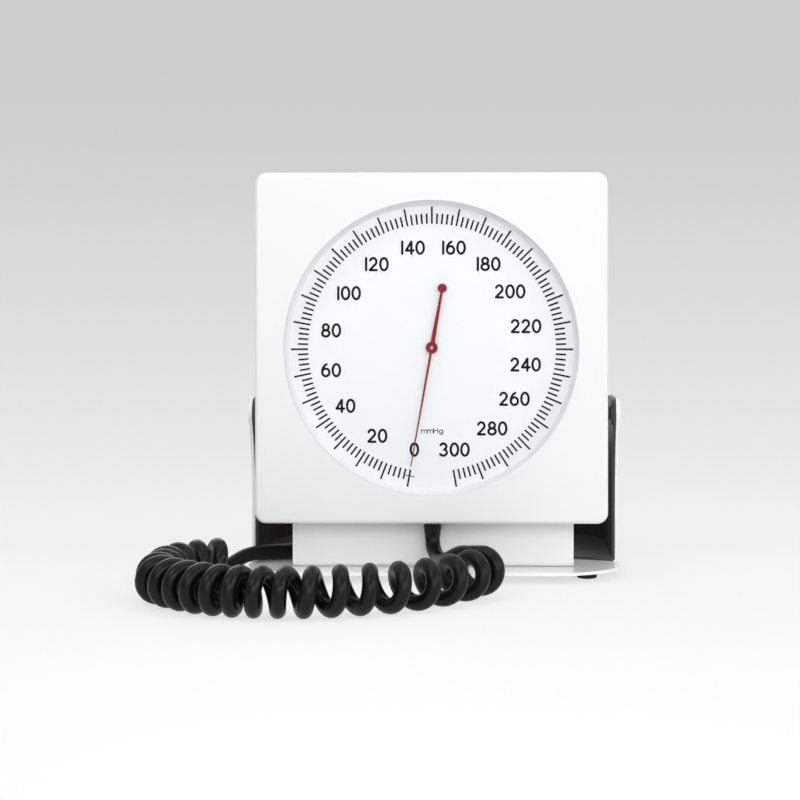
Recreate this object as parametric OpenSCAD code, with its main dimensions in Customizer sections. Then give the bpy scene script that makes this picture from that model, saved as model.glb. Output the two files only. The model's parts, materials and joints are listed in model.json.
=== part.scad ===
// Desk sphygmomanometer: a square dial case on a sheet steel stand with a cuff tray and a curly hose.
// Millimetres. The front faces -Y, +Z is up, and the origin lies under the middle of the stand.

/* [Dial case] */
// Width of the dial case
case_w = 177; // [170:1:200]
// Height of the dial case
case_h = 176; // [170:1:200]
// Height of the underside of the case above the table
case_lift = 30.5; // [28:0.5:45]
// Space inside the case behind the movement
back_space = 3.35; // [2:0.05:20]
// Depth of the rear cover
cover_d = 4; // [3.6:0.2:10]
// Corner radius of the case, seen from the front
case_r = 5.5; // [4:0.5:10]
// Rounding of the front edge of the case
edge_r = 2; // [1:0.25:3]
// Wall of the case
case_wall = 2.6; // [2:0.1:3]
// Radius of the bosses that take the cover screws
boss_r = 4; // [3:0.25:5]

/* [Dial and pointer] */
// Radius of the round opening in the case
opening_r = 74; // [66:0.5:75]
// Width of the lip that the glass bears on
lip_w = 2; // [1.5:0.25:2.5]
// Thickness of the glass
glass_t = 2; // [1.5:0.25:3]
// Distance from the glass to the dial
dial_gap = 4; // [3.5:0.25:8]
// Thickness of the dial plate
dial_t = 0.8; // [0.5:0.1:1.5]
// Radius of the hole in the dial
dial_hole_r = 2; // [1.5:0.25:2.5]
// Radius of the visible edge of the dial
dial_edge_r = 72; // [62:0.5:73]
// Length of the pointer from its axis to its tip
pointer_len = 61.2; // [50:0.2:71]
// Length of the pointer's tail to the middle of its disc
tail_len = 30.5; // [20:0.5:45]
// Radius of the pointer's middle disc
pointer_disc_r = 3; // [2.5:0.25:5]
// Radius of the disc at the end of the tail
tail_disc_r = 2.3; // [1.5:0.1:4]
// Angle of the zero mark, left of straight down
zero_angle = 10; // [5:1:20]
// Angle that the pointer sweeps from zero to full scale
sweep_angle = 340; // [300:5:340]

/* [Stand] */
// Depth of the base plate, front to back
stand_d = 168; // [150:1:200]
// Gap between each side of the case and the arm beside it
arm_gap = 6; // [5.5:0.25:10]
// Thickness of the steel sheet
sheet_t = 1.5; // [1:0.1:2]
// Inner radius of the bends
bend_r = 1.5; // [1:0.25:3]
// Radius of the base plate's front corners
front_corner_r = 34; // [10:1:44]
// Radius of the base plate's rear corners
rear_corner_r = 47; // [20:1:60]
// Height of the arms above the table
arm_top = 92.2; // [88:0.5:110]
// Distance of the arms' lower front edge behind the front of the base
arm_front = 45; // [44:1:48]
// Distance of the arms' lower rear edge behind the front of the base
arm_rear = 118; // [100:1:120]
// Length of the arms' straight top, behind the pivot
arm_top_len = 42; // [20:1:55]
// Height of the arms' rear edge before it slopes
arm_rear_h = 26; // [15:1:50]
// Radius of the sweep that carries the arms forward to the pivot
arm_sweep_r = 91; // [70:1:140]
// Height at which that sweep starts
arm_sweep_z = 35; // [28:1:45]
// Radius of the rounded pad around the pivot
pad_r = 8; // [7.5:0.25:9]
// Height of the rubber feet
foot_h = 4.5; // [4:0.25:8]
// Radius of the rubber feet
foot_r = 5.4; // [4:0.2:8]
// Distance of the feet from the middle, side to side
foot_x = 79; // [50:1:82]
// Distance of the front feet behind the front of the base
foot_inset = 26; // [20:1:40]
// How far the rear feet stand from the middle, side to side
rear_foot_x = 60; // [40:1:66]

/* [Front panel] */
// Width of the upright panel under the case
panel_w = 144; // [100:1:156]
// Distance of the panel behind the front of the base
panel_inset = 22; // [18:0.5:26]
// Thickness of the panel's sheet
panel_t = 1.2; // [1:0.1:1.5]
// Depth of the panel's foot on the base
panel_foot_d = 14; // [12:0.5:18]
// Gap between the panel and the case
panel_gap = 1.4; // [1.2:0.1:3]

/* [Cuff tray] */
// Wall of the tray
tray_wall = 1.4; // [1.2:0.1:2]
// Thickness of the tray's floor
tray_floor = 1.6; // [1.2:0.1:3]
// How far the tray stays inside the rear edge of the base
tray_inset = 3; // [2:0.5:8]
// Height of the tray's rear wall above the table
tray_back_h = 62; // [40:1:80]
// How far the tray's upper edge stays below the arms
tray_step = 0.6; // [0.4:0.1:3]
// Radius of the curve of the floor's front edge
scoop_r = 216; // [170:2:400]

/* [Tilt pivot] */
// Radius of the pivot screws
pivot_r = 2.5; // [2:0.1:3]
// Radius of the screws' low heads and of the spacers' flanges
pivot_head_r = 6.5; // [5.5:0.1:7]
// Thickness of the screws' heads
pivot_head_t = 0.9; // [0.8:0.1:2]
// Radius of the necks of the spacers
spacer_r = 3.8; // [3.5:0.1:5]
// Thickness of the spacers' flanges
spacer_flange_t = 1; // [0.8:0.1:1.5]

/* [Movement] */
// Pitch radius of the pinion
pinion_r = 3; // [2.8:0.1:3.2]
// Radius of the aneroid capsule
capsule_r = 27; // [20:0.5:32]
// Stroke of the capsule at full scale
capsule_stroke = 2; // [1:0.1:2]
// Radius of the pinion's and the sector's arbors
arbor_r = 0.75; // [0.6:0.05:0.9]
// Radial clearance of the arbors in their bearings
bearing_gap = 0.04; // [0.02:0.01:0.08]

/* [Hose] */
// Diameter of the hose
hose_d = 7.5; // [6:0.25:8]
// Outer diameter of the hose's curls
curl_d = 23.7; // [22:0.1:25]
// Number of curls
curls = 21.12; // [10:0.02:21.12]
// How far the curls' tops lean forward, and their bottoms back, along their line
curl_lean = 1; // [0:0.1:1.2]
// Radius of the hose connector's body
plug_r = 5; // [4.5:0.1:6]
// Length of the hose connector's body
plug_len = 16; // [12:0.5:22]
// Radius of the connector's stub that takes the cuff's tube
stub_r = 2.1; // [1.8:0.05:2.6]
// Length of that stub
stub_len = 9; // [6:0.5:14]

/* [Hidden] */
$fn = 96;

// Clearances
fit = 0.03;         // between a fastener and its hole in the same body
slide = 0.05;       // between the pivot screw and the arm it turns in
slip = 0.1;         // between flat faces that turn on each other
loose = 0.4;        // round a screw in a clearance hole
eps = 0.01;         // how far a cut runs past the face it opens

// Places along the depth, measured back from the front of the case and base
front_y = -stand_d / 2;
function at(depth) = front_y + depth;
glass_front = case_wall;
glass_back = glass_front + glass_t;
dial_front = glass_back + dial_gap;
plate_front = dial_front + dial_t;
plate_t = 2;
plate_back = plate_front + plate_t;

// Case
dial_z = case_lift + case_h / 2;
glass_r = opening_r + lip_w;
socket_gap = 0.2;
socket_wall = 2;
socket_r = glass_r + socket_gap + socket_wall;
boss_sink = 0.6;
corner_boss_x = case_w / 2 - case_wall - boss_r + boss_sink;
corner_boss_z = case_h / 2 - case_wall - boss_r + boss_sink;
plate_boss_r = 3.4;
ear_r = plate_boss_r + 0.8;
plate_boss_at = socket_r + plate_boss_r + 1.6;
cover_screw_r = 1.5;
cover_head_r = 2.9;
cover_head_t = 1.6;
cover_screw_len = 10;
cover_lip = 1.5;
cover_edge_r = 1.5;
gauge_screw_r = 1.25;
gauge_head_r = 2.4;
gauge_head_t = 1.5;
gauge_screw_len = 5.5;

// Stand
base_top = foot_h + sheet_t;
arm_in = case_w / 2 + arm_gap;
arm_out = arm_in + sheet_t;
bend_out = bend_r + sheet_t;
sweep_y = arm_front - arm_sweep_r;
pad_z = arm_top - pad_r;
pad_y = sweep_y + sqrt(pow(arm_sweep_r + pad_r, 2) - pow(pad_z - arm_sweep_z, 2));
pad_front = pad_y - pad_r;
arm_slope_y = pad_y + arm_top_len;
pivot_d = pad_y;
pivot_z = pad_z;
foot_taper = 0.6;
rear_foot_inset = 26;

// Panel
panel_top = case_lift - panel_gap;
panel_hole_edge = 14;
panel_hole_x = panel_w / 2 - panel_hole_edge;
panel_screw_r = 1.5;
panel_head_r = 2.8;
panel_head_t = 1.4;

// Tray
tray_out = arm_in - slip;
tray_rear = stand_d - tray_inset;
tray_corner_r = rear_corner_r - tray_inset;
tray_screw_r = 1.5;
tray_head_r = 3;
tray_head_t = 1.5;
tray_nut_r = 3.1;
tray_nut_t = 2.2;
tray_screw_x = 66;
tray_nut_gap = 2.6;
tray_screw_front = 76;
tray_screw_back = stand_d - rear_foot_inset - foot_r - tray_nut_gap;

// Pivot
insert_r = 3.9;
insert_len = 8;
insert_wall = 1.8;
insert_x = case_w / 2 - insert_len;
pivot_end_gap = 0.5;
socket_hex_r = 1.6;
socket_depth = 2.2;

// Movement: the sector's turn is a tenth of the pinion's
pinion_teeth = 10;
gear_ratio = 10;
tooth_pitch = 360 / pinion_teeth;
sector_pitch = tooth_pitch / gear_ratio;
sector_r = pinion_r * gear_ratio;
sector_swing = sweep_angle / gear_ratio;
tooth_out = 0.5;
tooth_in = 0.72;
tooth_root_w = 0.9;
tooth_tip_w = 0.36;
sector_side_teeth = 7;
sector_x = 8;
sector_z = -sqrt(pow(sector_r + pinion_r, 2) - pow(sector_x, 2));
line_angle = atan2(-sector_z, -sector_x);
pinion_front = plate_back + 2.2;
pinion_len = 3;
sector_front = pinion_front + 0.8;
sector_t = 1.4;
sector_hub_r = 2;
bridge_rise = 6.7;
bridge_front = plate_back + bridge_rise;
bridge_t = 1.5;
bridge_back = bridge_front + bridge_t;
arbor_end = bridge_back - 0.3;
tail_r = 4.28;
tail_pin_r = 0.5;
tail_pin_len = 1.8;
rocker_lever = 8;
rocker_reach = 9.4;
rocker_t = 1;
rocker_w = 1.6;
rocker_r = 1;
contact_gap = 0.35;
rocker_d = bridge_back + capsule_stroke + 4;
rocker_x = rocker_lever;
tail_z = sector_z - tail_r;
tail_rest_x = sector_x - tail_r * sin(sector_swing / 2);
finger_x = tail_rest_x - tail_pin_r - rocker_t / 2 - contact_gap;
finger_d = sector_front + sector_t + 0.3 + tail_pin_len / 2;
finger_angle = atan2(rocker_x - finger_x, rocker_d - finger_d);
rocker_top = 6;
rocker_tail = 7;
rocker_bottom = tail_z - rocker_tail;
lug_t = 2;
lug_r = 2.4;
tip_r = 0.8;
tip_front = rocker_d + rocker_t / 2 + contact_gap;
tip_len = 2;
capsule_front_d = tip_front + tip_len;
capsule_half = 2.6;
capsule_mid = capsule_front_d + capsule_half;
capsule_sheet = 0.4;
ridge_w = 6;
ridge_h = 0.8;
rim_w = 4;
stem_r = 3;
stem_bore = 1;
post_at = 36;
post_r = 2.5;
post_hole_r = 1.25;
capsule_bridge_d = capsule_mid + capsule_half + 1.4;
capsule_bridge_t = 2;
nut_t = 2.4;
nut_r = 5;
stem_start = capsule_mid + capsule_half - 0.1;
stem_end = capsule_bridge_d + capsule_bridge_t + nut_t + 1.4;
elbow_d = stem_end + 1.6;
elbow_r = 4;
elbow_back = 2.6;
shell_d = elbow_d + elbow_back + back_space + case_wall - cover_d;
case_d = shell_d + cover_d;
barb_r = 2;
barb_len = 12;
tube_r = 3;
pillar_r = 1.8;
pillar_hole_r = 0.9;
pillar_screw_len = 4.5;
pillar_head_t = 1;
pillar_left = -8;
pillar_upper_right = 14;
pillar_lower_right = 20;
pillar_top = 8;
pillar_drop = 10;
pillar_bottom = tail_z - pillar_drop;
pillars_at = [[pillar_left, pillar_top], [pillar_upper_right, pillar_top], [pillar_left, pillar_bottom],
    [pillar_lower_right, pillar_bottom]];
bridge_edge = 3;
bridge_neck = [-4, -20];
finger_slot = [10, 4];
post_screw_len = 5.5;
post_head_t = 1.4;
capsule_bridge_r = 7;
spring_turns = 4;
spring_steps = 20;
spring_in = arbor_r + 0.35;
spring_out = 5.6;
spring_w = 0.16;
spring_t = 0.6;
spring_front = plate_back + 0.7;
stud_r = 0.45;

// Pointer
pointer_front = glass_back + 2;
pointer_t = 0.4;
blade_root_w = 1.2;
blade_tip_w = 0.5;
tail_root_w = 2.2;
tail_end_w = 1.1;
hub_r = 1.5;
hub_len = 0.8;
arbor_dot = 0.4;

// Hose
nipple_d = 16;
nipple_r = 3;
nipple_bore = 1.2;
collar_len = 2;
nipple_barb_len = 13;
nipple_nut_t = 2.4;
nipple_nut_r = 5;
hose_r = hose_d / 2;
curl_r = curl_d / 2 - hose_r;
curl_z = curl_d / 2 + 0.02;
drop_top = case_lift - collar_len;
table_z = base_top + tray_floor + plug_r + 0.05;
plug_x = -30;
plug_d = 74;

// Points of the hose's free stretches: side, depth behind the front of the case, height
drop_route = [[0, nipple_d, drop_top], [0, nipple_d, drop_top - hose_r], [0, nipple_d, drop_top - hose_d],
    [0.7, 14, 16.5], [2.9, 8, 13], [5.2, -1.4, 12.6], [6.9, -11.4, 13.9], [8.9, -20.3, 15.4],
    [11.7, -27.2, 17.7], [15.6, -31.5, 19.9]];
run_route = [[-113.5, 9.3, 10.8], [-114.1, 13.7, 7.8], [-112, 19.5, 5.6], [-106.8, 25.8, 5.4],
    [-102.4, 30.7, 7.7], [-97.9, 34.8, 9.9], [-92.1, 39, 11], [-84.9, 43.5, 11.1], [-77, 47.8, 11],
    [-66, 53.5, 11.6], [-56, 60, 12.4], [-48.5, 67, table_z], [-42.5, 71.8, table_z],
    [plug_x - hose_d, plug_d, table_z], [plug_x, plug_d, table_z]];
// Points of the line that the curls wind round, spread evenly over them: side, depth, lift
coil_line = [[26.9, -38, 1], [18.6, -54.2, 0.3], [4.1, -73.3, 0], [-12.4, -88.5, 0], [-30.7, -96.9, 0],
    [-47.8, -103.4, 0], [-64, -103.8, 0], [-78.8, -102.1, 0], [-91.7, -97.5, 0], [-103.8, -89.2, 0],
    [-114.8, -78, 0], [-124.3, -63.8, 0], [-124.9, -48.1, 0], [-125.7, -30.5, 0], [-118.8, -12.8, 0],
    [-106.7, -3.1, 0]];
// Share of a turn at which the curls begin, counted from their side: near the top
curl_start = 0.235;
curl_steps = 8;
// Small share of the curls over which their direction is taken at either end
curl_nudge = 0.0001;

// Draws a flat shape given in X and Z, from one depth over a length
module along_y(depth, length) {
    translate([0, at(depth) + length, 0]) rotate([90, 0, 0]) linear_extrude(length) children();
}

// Draws a flat shape given in depth and Z, from one X over a length
module along_x(x, length) {
    translate([x, front_y, 0]) rotate([90, 0, 90]) linear_extrude(length) children();
}

// A round bar along the depth
module bar_y(r, depth, length) {
    translate([0, at(depth), 0]) rotate([-90, 0, 0]) cylinder(r = r, h = length);
}

// A six-sided bar along the depth
module hex_y(r, depth, length) {
    translate([0, at(depth), 0]) rotate([-90, 0, 0]) cylinder(r = r, h = length, $fn = 6);
}

// A rectangle with round corners, centred
module round_rect(w, h, r) {
    square([w - 2 * r, h], center = true);
    square([w, h - 2 * r], center = true);
    for (x = [-1, 1], y = [-1, 1]) translate([x * (w / 2 - r), y * (h / 2 - r)]) circle(r);
}

// A slab whose front edge is rounded, its front face at depth 0 and turned to -Y
module soft_slab(w, h, t, r, edge) {
    along_y(edge, t - edge) round_rect(w, h, r);
    along_y(0, t) round_rect(w - 2 * edge, h - 2 * edge, r - edge);
    for (x = [-1, 1], z = [-1, 1])
        translate([x * (w / 2 - r), at(edge), z * (h / 2 - r)]) rotate([90, 0, 0])
            rotate_extrude() translate([r - edge, 0]) circle(edge, $fn = 48);
    for (x = [-1, 1]) translate([x * (w / 2 - edge), at(edge), 0])
        cylinder(r = edge, h = h - 2 * r, center = true, $fn = 48);
    for (z = [-1, 1]) translate([0, at(edge), z * (h / 2 - edge)]) rotate([0, 90, 0])
        cylinder(r = edge, h = w - 2 * r, center = true, $fn = 48);
}

// Moves children to the middle of the dial
module on_dial() {
    translate([0, 0, dial_z]) children();
}

// Repeats children at the four corner bosses of the case
module at_corners() {
    for (x = [-1, 1], z = [-1, 1]) translate([x * corner_boss_x, 0, dial_z + z * corner_boss_z]) children();
}

// Repeats children at the four ears of the gauge plate
module at_ears() {
    for (a = [45 : 90 : 315])
        translate([plate_boss_at * cos(a), 0, dial_z + plate_boss_at * sin(a)]) children();
}

// Repeats children at both pivots, mirrored, pointing outwards along +X
module at_pivots() {
    for (s = [0, 1]) mirror([s, 0, 0]) translate([0, at(pivot_d), pivot_z]) children();
}

// A round bar along +X
module bar_x(r, x, length) {
    translate([x, 0, 0]) rotate([0, 90, 0]) cylinder(r = r, h = length);
}

// Side outline of an arm: swept forward to a round pad, set in from the arm's edge by a step
module side_outline(step, rear, rear_h, slope_y) {
    top = arm_top - step;
    reach = arm_sweep_r + step;
    a = atan2(pad_z - arm_sweep_z, pad_y - sweep_y);
    difference() {
        union() {
            polygon([[arm_front + step, foot_h], [rear, foot_h], [rear, rear_h], [slope_y, top],
                [pad_y, top], [pad_y, pad_z], [sweep_y + reach * cos(a), arm_sweep_z + reach * sin(a)],
                [arm_front + step, arm_sweep_z]]);
            translate([pad_y, pad_z]) circle(pad_r - step);
        }
        translate([sweep_y, arm_sweep_z]) circle(reach, $fn = 240);
    }
}

// Outline of the base plate, seen from above, with its front edge at depth 0
module base_outline() {
    for (x = [-1, 1]) {
        translate([x * (arm_out - front_corner_r), at(front_corner_r)]) circle(front_corner_r);
        translate([x * (arm_out - rear_corner_r), at(stand_d - rear_corner_r)]) circle(rear_corner_r);
    }
    translate([-arm_out, at(front_corner_r)])
        square([2 * arm_out, stand_d - front_corner_r - rear_corner_r]);
    translate([-arm_out + front_corner_r, at(0)]) square([2 * (arm_out - front_corner_r), stand_d / 2]);
    translate([-arm_out + rear_corner_r, at(stand_d / 2)])
        square([2 * (arm_out - rear_corner_r), stand_d / 2]);
}

// Outline of the tray, seen from above, drawn in by an inset
module tray_outline(inset) {
    r = tray_corner_r - inset;
    w = tray_out - inset;
    for (x = [-1, 1]) translate([x * (w - r), at(tray_rear - inset - r)]) circle(r);
    translate([-w, at(pad_front)]) square([2 * w, tray_rear - inset - r - pad_front]);
    translate([-w + r, at(pad_front)]) square([2 * (w - r), tray_rear - inset - pad_front]);
}

module at_tray_screws() {
    for (x = [-1, 1], d = [tray_screw_front, tray_screw_back]) translate([x * tray_screw_x, at(d), 0])
        children();
}

module at_panel_screws() {
    for (x = [-1, 0, 1])
        translate([x * panel_hole_x, at(panel_inset + panel_foot_d - panel_head_r - 1.2), 0]) children();
}

// Base plate with the two arms bent up from it
module stand_bracket() {
    color("whitesmoke") difference() {
        union() {
            difference() {
                translate([0, 0, foot_h]) linear_extrude(sheet_t) base_outline();
                for (s = [0, 1]) mirror([s, 0, 0])
                    translate([arm_out - bend_out, at(arm_front), foot_h - eps])
                        cube([bend_out + eps, arm_rear - arm_front, sheet_t + 2 * eps]);
            }
            intersection() {
                along_y(0, stand_d) difference() {
                    translate([0, foot_h + arm_top / 2]) round_rect(2 * arm_out, arm_top, bend_out);
                    translate([0, base_top + arm_top / 2]) round_rect(2 * arm_in, arm_top, bend_r);
                }
                union() {
                    along_x(-arm_out, bend_out) side_outline(0, arm_rear, arm_rear_h, arm_slope_y);
                    along_x(arm_in - bend_r, bend_out) side_outline(0, arm_rear, arm_rear_h, arm_slope_y);
                }
            }
        }
        at_pivots() bar_x(pivot_r + slide, arm_in - eps, sheet_t + 2 * eps);
        at_tray_screws() cylinder(r = tray_screw_r + fit, h = base_top + 1);
        at_panel_screws() cylinder(r = panel_screw_r + fit, h = base_top + 1);
    }
}

// Repeats children at the four feet
module at_feet() {
    for (x = [-1, 1]) {
        translate([x * foot_x, at(foot_inset), 0]) children();
        translate([x * rear_foot_x, at(stand_d - rear_foot_inset), 0]) children();
    }
}

module rubber_feet() {
    color([0.08, 0.08, 0.08]) at_feet() {
        cylinder(r1 = foot_r - foot_taper, r2 = foot_r, h = foot_taper);
        translate([0, 0, foot_taper]) cylinder(r = foot_r, h = foot_h - foot_taper);
    }
}

// Upright sheet under the case, with a foot bent back along the base
module front_panel() {
    color("whitesmoke") difference() {
        along_x(-panel_w / 2, panel_w) union() {
            translate([panel_inset, base_top + panel_t + bend_r])
                square([panel_t, panel_top - base_top - panel_t - bend_r]);
            translate([panel_inset + panel_t + bend_r, base_top])
                square([panel_foot_d - panel_t - bend_r, panel_t]);
            intersection() {
                translate([panel_inset, base_top]) square(panel_t + bend_r);
                translate([panel_inset + panel_t + bend_r, base_top + panel_t + bend_r]) difference() {
                    circle(panel_t + bend_r);
                    circle(bend_r);
                }
            }
        }
        at_panel_screws() cylinder(r = panel_screw_r + fit, h = base_top + panel_t + 1);
    }
}

// A screw standing on its shank, with a domed head whose underside lies at z
module dome_screw(z, r, head_r, head_t, length) {
    translate([0, 0, z - length]) cylinder(r = r, h = length);
    translate([0, 0, z]) cylinder(r = head_r, h = head_t / 2);
    translate([0, 0, z + head_t / 2]) cylinder(r1 = head_r, r2 = head_r - head_t / 2, h = head_t / 2);
}

module panel_screws() {
    color("silver") at_panel_screws()
        dome_screw(base_top + panel_t, panel_screw_r, panel_head_r, panel_head_t, panel_t + sheet_t + 1.5);
}

// Open tray for the rolled-up cuff: floor, tall side walls and a rear wall with wide round corners
module cuff_tray() {
    color([0.12, 0.12, 0.13]) difference() {
        intersection() {
            translate([0, 0, base_top]) difference() {
                linear_extrude(arm_top) tray_outline(0);
                translate([0, 0, tray_floor]) linear_extrude(arm_top) tray_outline(tray_wall);
            }
            along_x(-tray_out, 2 * tray_out)
                side_outline(tray_step, tray_rear, tray_back_h, arm_slope_y);
            along_y(0, stand_d) translate([0, base_top + arm_top / 2])
                round_rect(2 * tray_out, arm_top, bend_r + slip);
        }
        translate([0, at(arm_front) + pow(tray_out, 2) / (2 * scoop_r) - scoop_r + tray_step, base_top - eps])
            intersection() {
                cylinder(r = scoop_r, h = tray_floor + 2 * eps, $fn = 360);
                translate([-tray_out + tray_wall, 0, 0])
                    cube([2 * (tray_out - tray_wall), scoop_r + 1, arm_top]);
            }
        at_pivots() bar_x(pivot_r + loose, tray_out - tray_wall - 1, tray_wall + 2);
        at_tray_screws() cylinder(r = tray_screw_r + fit, h = base_top + tray_floor + 1);
    }
}

module tray_screws() {
    color("silver") at_tray_screws()
        dome_screw(base_top + tray_floor, tray_screw_r, tray_head_r, tray_head_t,
            tray_floor + sheet_t + tray_nut_t + 0.4);
}

module tray_nuts() {
    color("silver") at_tray_screws() translate([0, 0, foot_h - tray_nut_t]) difference() {
        cylinder(r = tray_nut_r, h = tray_nut_t, $fn = 6);
        translate([0, 0, -1]) cylinder(r = tray_screw_r + fit, h = tray_nut_t + 2);
    }
}

// Front face and side walls of the case, with the socket for the dial and all bosses
module front_shell() {
    color("whitesmoke") difference() {
        union() {
            difference() {
                on_dial() soft_slab(case_w, case_h, shell_d, case_r, edge_r);
                on_dial() along_y(case_wall, shell_d)
                    round_rect(case_w - 2 * case_wall, case_h - 2 * case_wall, case_r - case_wall);
            }
            on_dial() bar_y(socket_r, case_wall - eps, plate_front - case_wall + eps);
            at_ears() bar_y(plate_boss_r, case_wall - eps, plate_front - case_wall + eps);
            at_corners() bar_y(boss_r, case_wall - eps, shell_d - case_wall + eps);
            corner_webs();
            at_pivots() bar_x(insert_r + insert_wall, insert_x, insert_len - eps);
        }
        on_dial() bar_y(opening_r, -1, case_wall + 2);
        on_dial() bar_y(glass_r + socket_gap, case_wall, plate_front);
        at_ears() bar_y(gauge_screw_r + fit, case_wall + 0.8, plate_front);
        at_corners() bar_y(cover_screw_r + fit, shell_d - cover_screw_len - 1, cover_screw_len + 2);
        at_pivots() bar_x(insert_r + fit, insert_x - 1, insert_len - case_wall + 2);
        at_pivots() bar_x(pivot_r + loose, insert_x, insert_len + 1);
        translate([0, at(nipple_d), case_lift - 1]) cylinder(r = nipple_r + fit, h = case_wall + 2);
    }
}

// Webs that tie the corner bosses to the walls
module corner_webs() {
    for (x = [-1, 1], z = [-1, 1])
        translate([x * (corner_boss_x + boss_r / 2), at(shell_d / 2),
            dial_z + z * (corner_boss_z + boss_r / 2)])
            cube([boss_r + 0.4, shell_d - 2 * cover_lip - case_wall, boss_r + 0.4], center = true);
}

// Flat cover that closes the back of the case, with a lip inside the shell
module rear_cover() {
    lip_w = case_w - 2 * case_wall - 2 * socket_gap;
    lip_h = case_h - 2 * case_wall - 2 * socket_gap;
    lip_r = case_r - case_wall - socket_gap;
    color("gainsboro") difference() {
        union() {
            on_dial() translate([0, at(case_d) + at(0), 0]) mirror([0, 1, 0])
                soft_slab(case_w, case_h, cover_d, case_r, cover_edge_r);
            on_dial() along_y(shell_d - cover_lip + slip, cover_lip) round_rect(lip_w, lip_h, lip_r);
        }
        on_dial() along_y(shell_d - cover_lip, cover_lip + cover_d - case_wall)
            round_rect(lip_w - 2 * case_wall, lip_h - 2 * case_wall, 1);
        at_corners() bar_y(boss_r + socket_gap, shell_d - cover_lip - 1, cover_lip + 1);
        at_corners() bar_y(cover_screw_r + fit, shell_d - 1, cover_d + 2);
        at_corners() bar_y(cover_head_r + loose, case_d - cover_head_t, cover_head_t + 1);
    }
}

module cover_screws() {
    color("dimgray") at_corners() {
        bar_y(cover_screw_r, shell_d - cover_screw_len + cover_d - cover_head_t, cover_screw_len);
        bar_y(cover_head_r, case_d - cover_head_t, cover_head_t);
    }
}

module dial_glass() {
    color([0.9, 0.95, 1, 0.3]) on_dial() bar_y(glass_r, glass_front, glass_t);
}

// White ring that holds the glass off the dial and slopes in to the dial's edge
module dial_ring() {
    color("white") on_dial() translate([0, at(dial_front), 0]) rotate([90, 0, 0]) rotate_extrude()
        polygon([[dial_edge_r, 0], [glass_r, 0], [glass_r, dial_gap], [opening_r, dial_gap]]);
}

module dial_plate() {
    color("white") on_dial() difference() {
        bar_y(glass_r, dial_front, dial_t);
        bar_y(dial_hole_r, dial_front - 1, dial_t + 2);
    }
}

// Metal plate behind the dial that carries the whole movement
module gauge_plate() {
    color("silver") difference() {
        on_dial() along_y(plate_front, plate_t) union() {
            circle(glass_r + socket_gap + socket_wall / 2);
            for (a = [45 : 90 : 315]) rotate(a) {
                translate([0, -ear_r]) square([plate_boss_at, 2 * ear_r]);
                translate([plate_boss_at, 0]) circle(ear_r);
            }
        }
        on_dial() bar_y(arbor_r + bearing_gap, plate_front - 1, plate_t + 2);
        on_dial() translate([sector_x, 0, sector_z])
            bar_y(arbor_r + bearing_gap, plate_front - 1, plate_t + 2);
        at_ears() bar_y(gauge_screw_r + fit, plate_front - 1, plate_t + 2);
    }
}

module gauge_screws() {
    color("silver") at_ears() {
        bar_y(gauge_screw_r, plate_back - gauge_screw_len, gauge_screw_len);
        bar_y(gauge_head_r, plate_back, gauge_head_t);
    }
}

// Brass bushes moulded into the case sides, open outwards
module pivot_inserts() {
    color("goldenrod") at_pivots() difference() {
        bar_x(insert_r, insert_x, insert_len - case_wall);
        bar_x(pivot_r + fit, insert_x - 1, insert_len + 2);
    }
}

// Spacers between the case and the tray's side walls, each with a flange towards the wall
module pivot_spacers() {
    spacer_end = tray_out - tray_wall - slip;
    color([0.1, 0.1, 0.1]) at_pivots() difference() {
        union() {
            bar_x(spacer_r, case_w / 2, spacer_end - case_w / 2);
            bar_x(pivot_head_r, spacer_end - spacer_flange_t, spacer_flange_t);
        }
        bar_x(pivot_r + fit, case_w / 2 - 1, arm_gap + 2);
    }
}

// Screws that the case tilts on, through the arms into the case
module pivot_screws() {
    color("whitesmoke") at_pivots() difference() {
        union() {
            bar_x(pivot_r, insert_x + pivot_end_gap, arm_out + slip - insert_x - pivot_end_gap);
            bar_x(pivot_head_r, arm_out + slip, pivot_head_t - slip);
        }
        translate([arm_out + pivot_head_t - socket_depth, 0, 0]) rotate([0, 90, 0])
            cylinder(r = socket_hex_r, h = socket_depth + 1, $fn = 6);
    }
}

module at_pillars() {
    on_dial() for (p = pillars_at) translate([p[0], 0, p[1]]) children();
}

module movement_pillars() {
    color("goldenrod") at_pillars() difference() {
        bar_y(pillar_r, plate_back, bridge_front - plate_back);
        bar_y(pillar_hole_r + fit, bridge_back - pillar_screw_len - 0.5, pillar_screw_len);
    }
}

// Rear plate of the movement, with two lugs that carry the rocking shaft
module movement_bridge() {
    left = pillar_left - bridge_edge;
    upper = pillar_upper_right + bridge_edge;
    lower = pillar_lower_right + bridge_edge;
    top = pillar_top + bridge_edge;
    bottom = pillar_bottom - bridge_edge;
    color("goldenrod") difference() {
        union() {
            on_dial() along_y(bridge_front, bridge_t) polygon([[left, top], [upper, top],
                [upper, bridge_neck[0]], [lower, bridge_neck[1]], [lower, bottom], [left, bottom]]);
            on_dial() for (z = [rocker_top - 1 - lug_t, rocker_bottom + 1])
                translate([rocker_x, 0, z]) {
                    translate([-lug_r, at(bridge_back) - eps, 0])
                        cube([2 * lug_r, rocker_d - bridge_back + eps, lug_t]);
                    translate([0, at(rocker_d), 0]) cylinder(r = lug_r, h = lug_t);
                }
        }
        on_dial() {
            bar_y(arbor_r + bearing_gap, bridge_front - 1, bridge_t + 2);
            translate([sector_x, 0, sector_z]) bar_y(arbor_r + bearing_gap, bridge_front - 1, bridge_t + 2);
            translate([rocker_x, at(rocker_d), rocker_bottom - 1])
                cylinder(r = rocker_r + bearing_gap, h = rocker_top - rocker_bottom + 2);
            translate([finger_x - finger_slot[0] / 4, at(bridge_front - 1), tail_z - finger_slot[1] / 2])
                cube([finger_slot[0], bridge_t + 2, finger_slot[1]]);
        }
        at_pillars() bar_y(pillar_hole_r + fit, bridge_front - 1, bridge_t + 2);
    }
}

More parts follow.
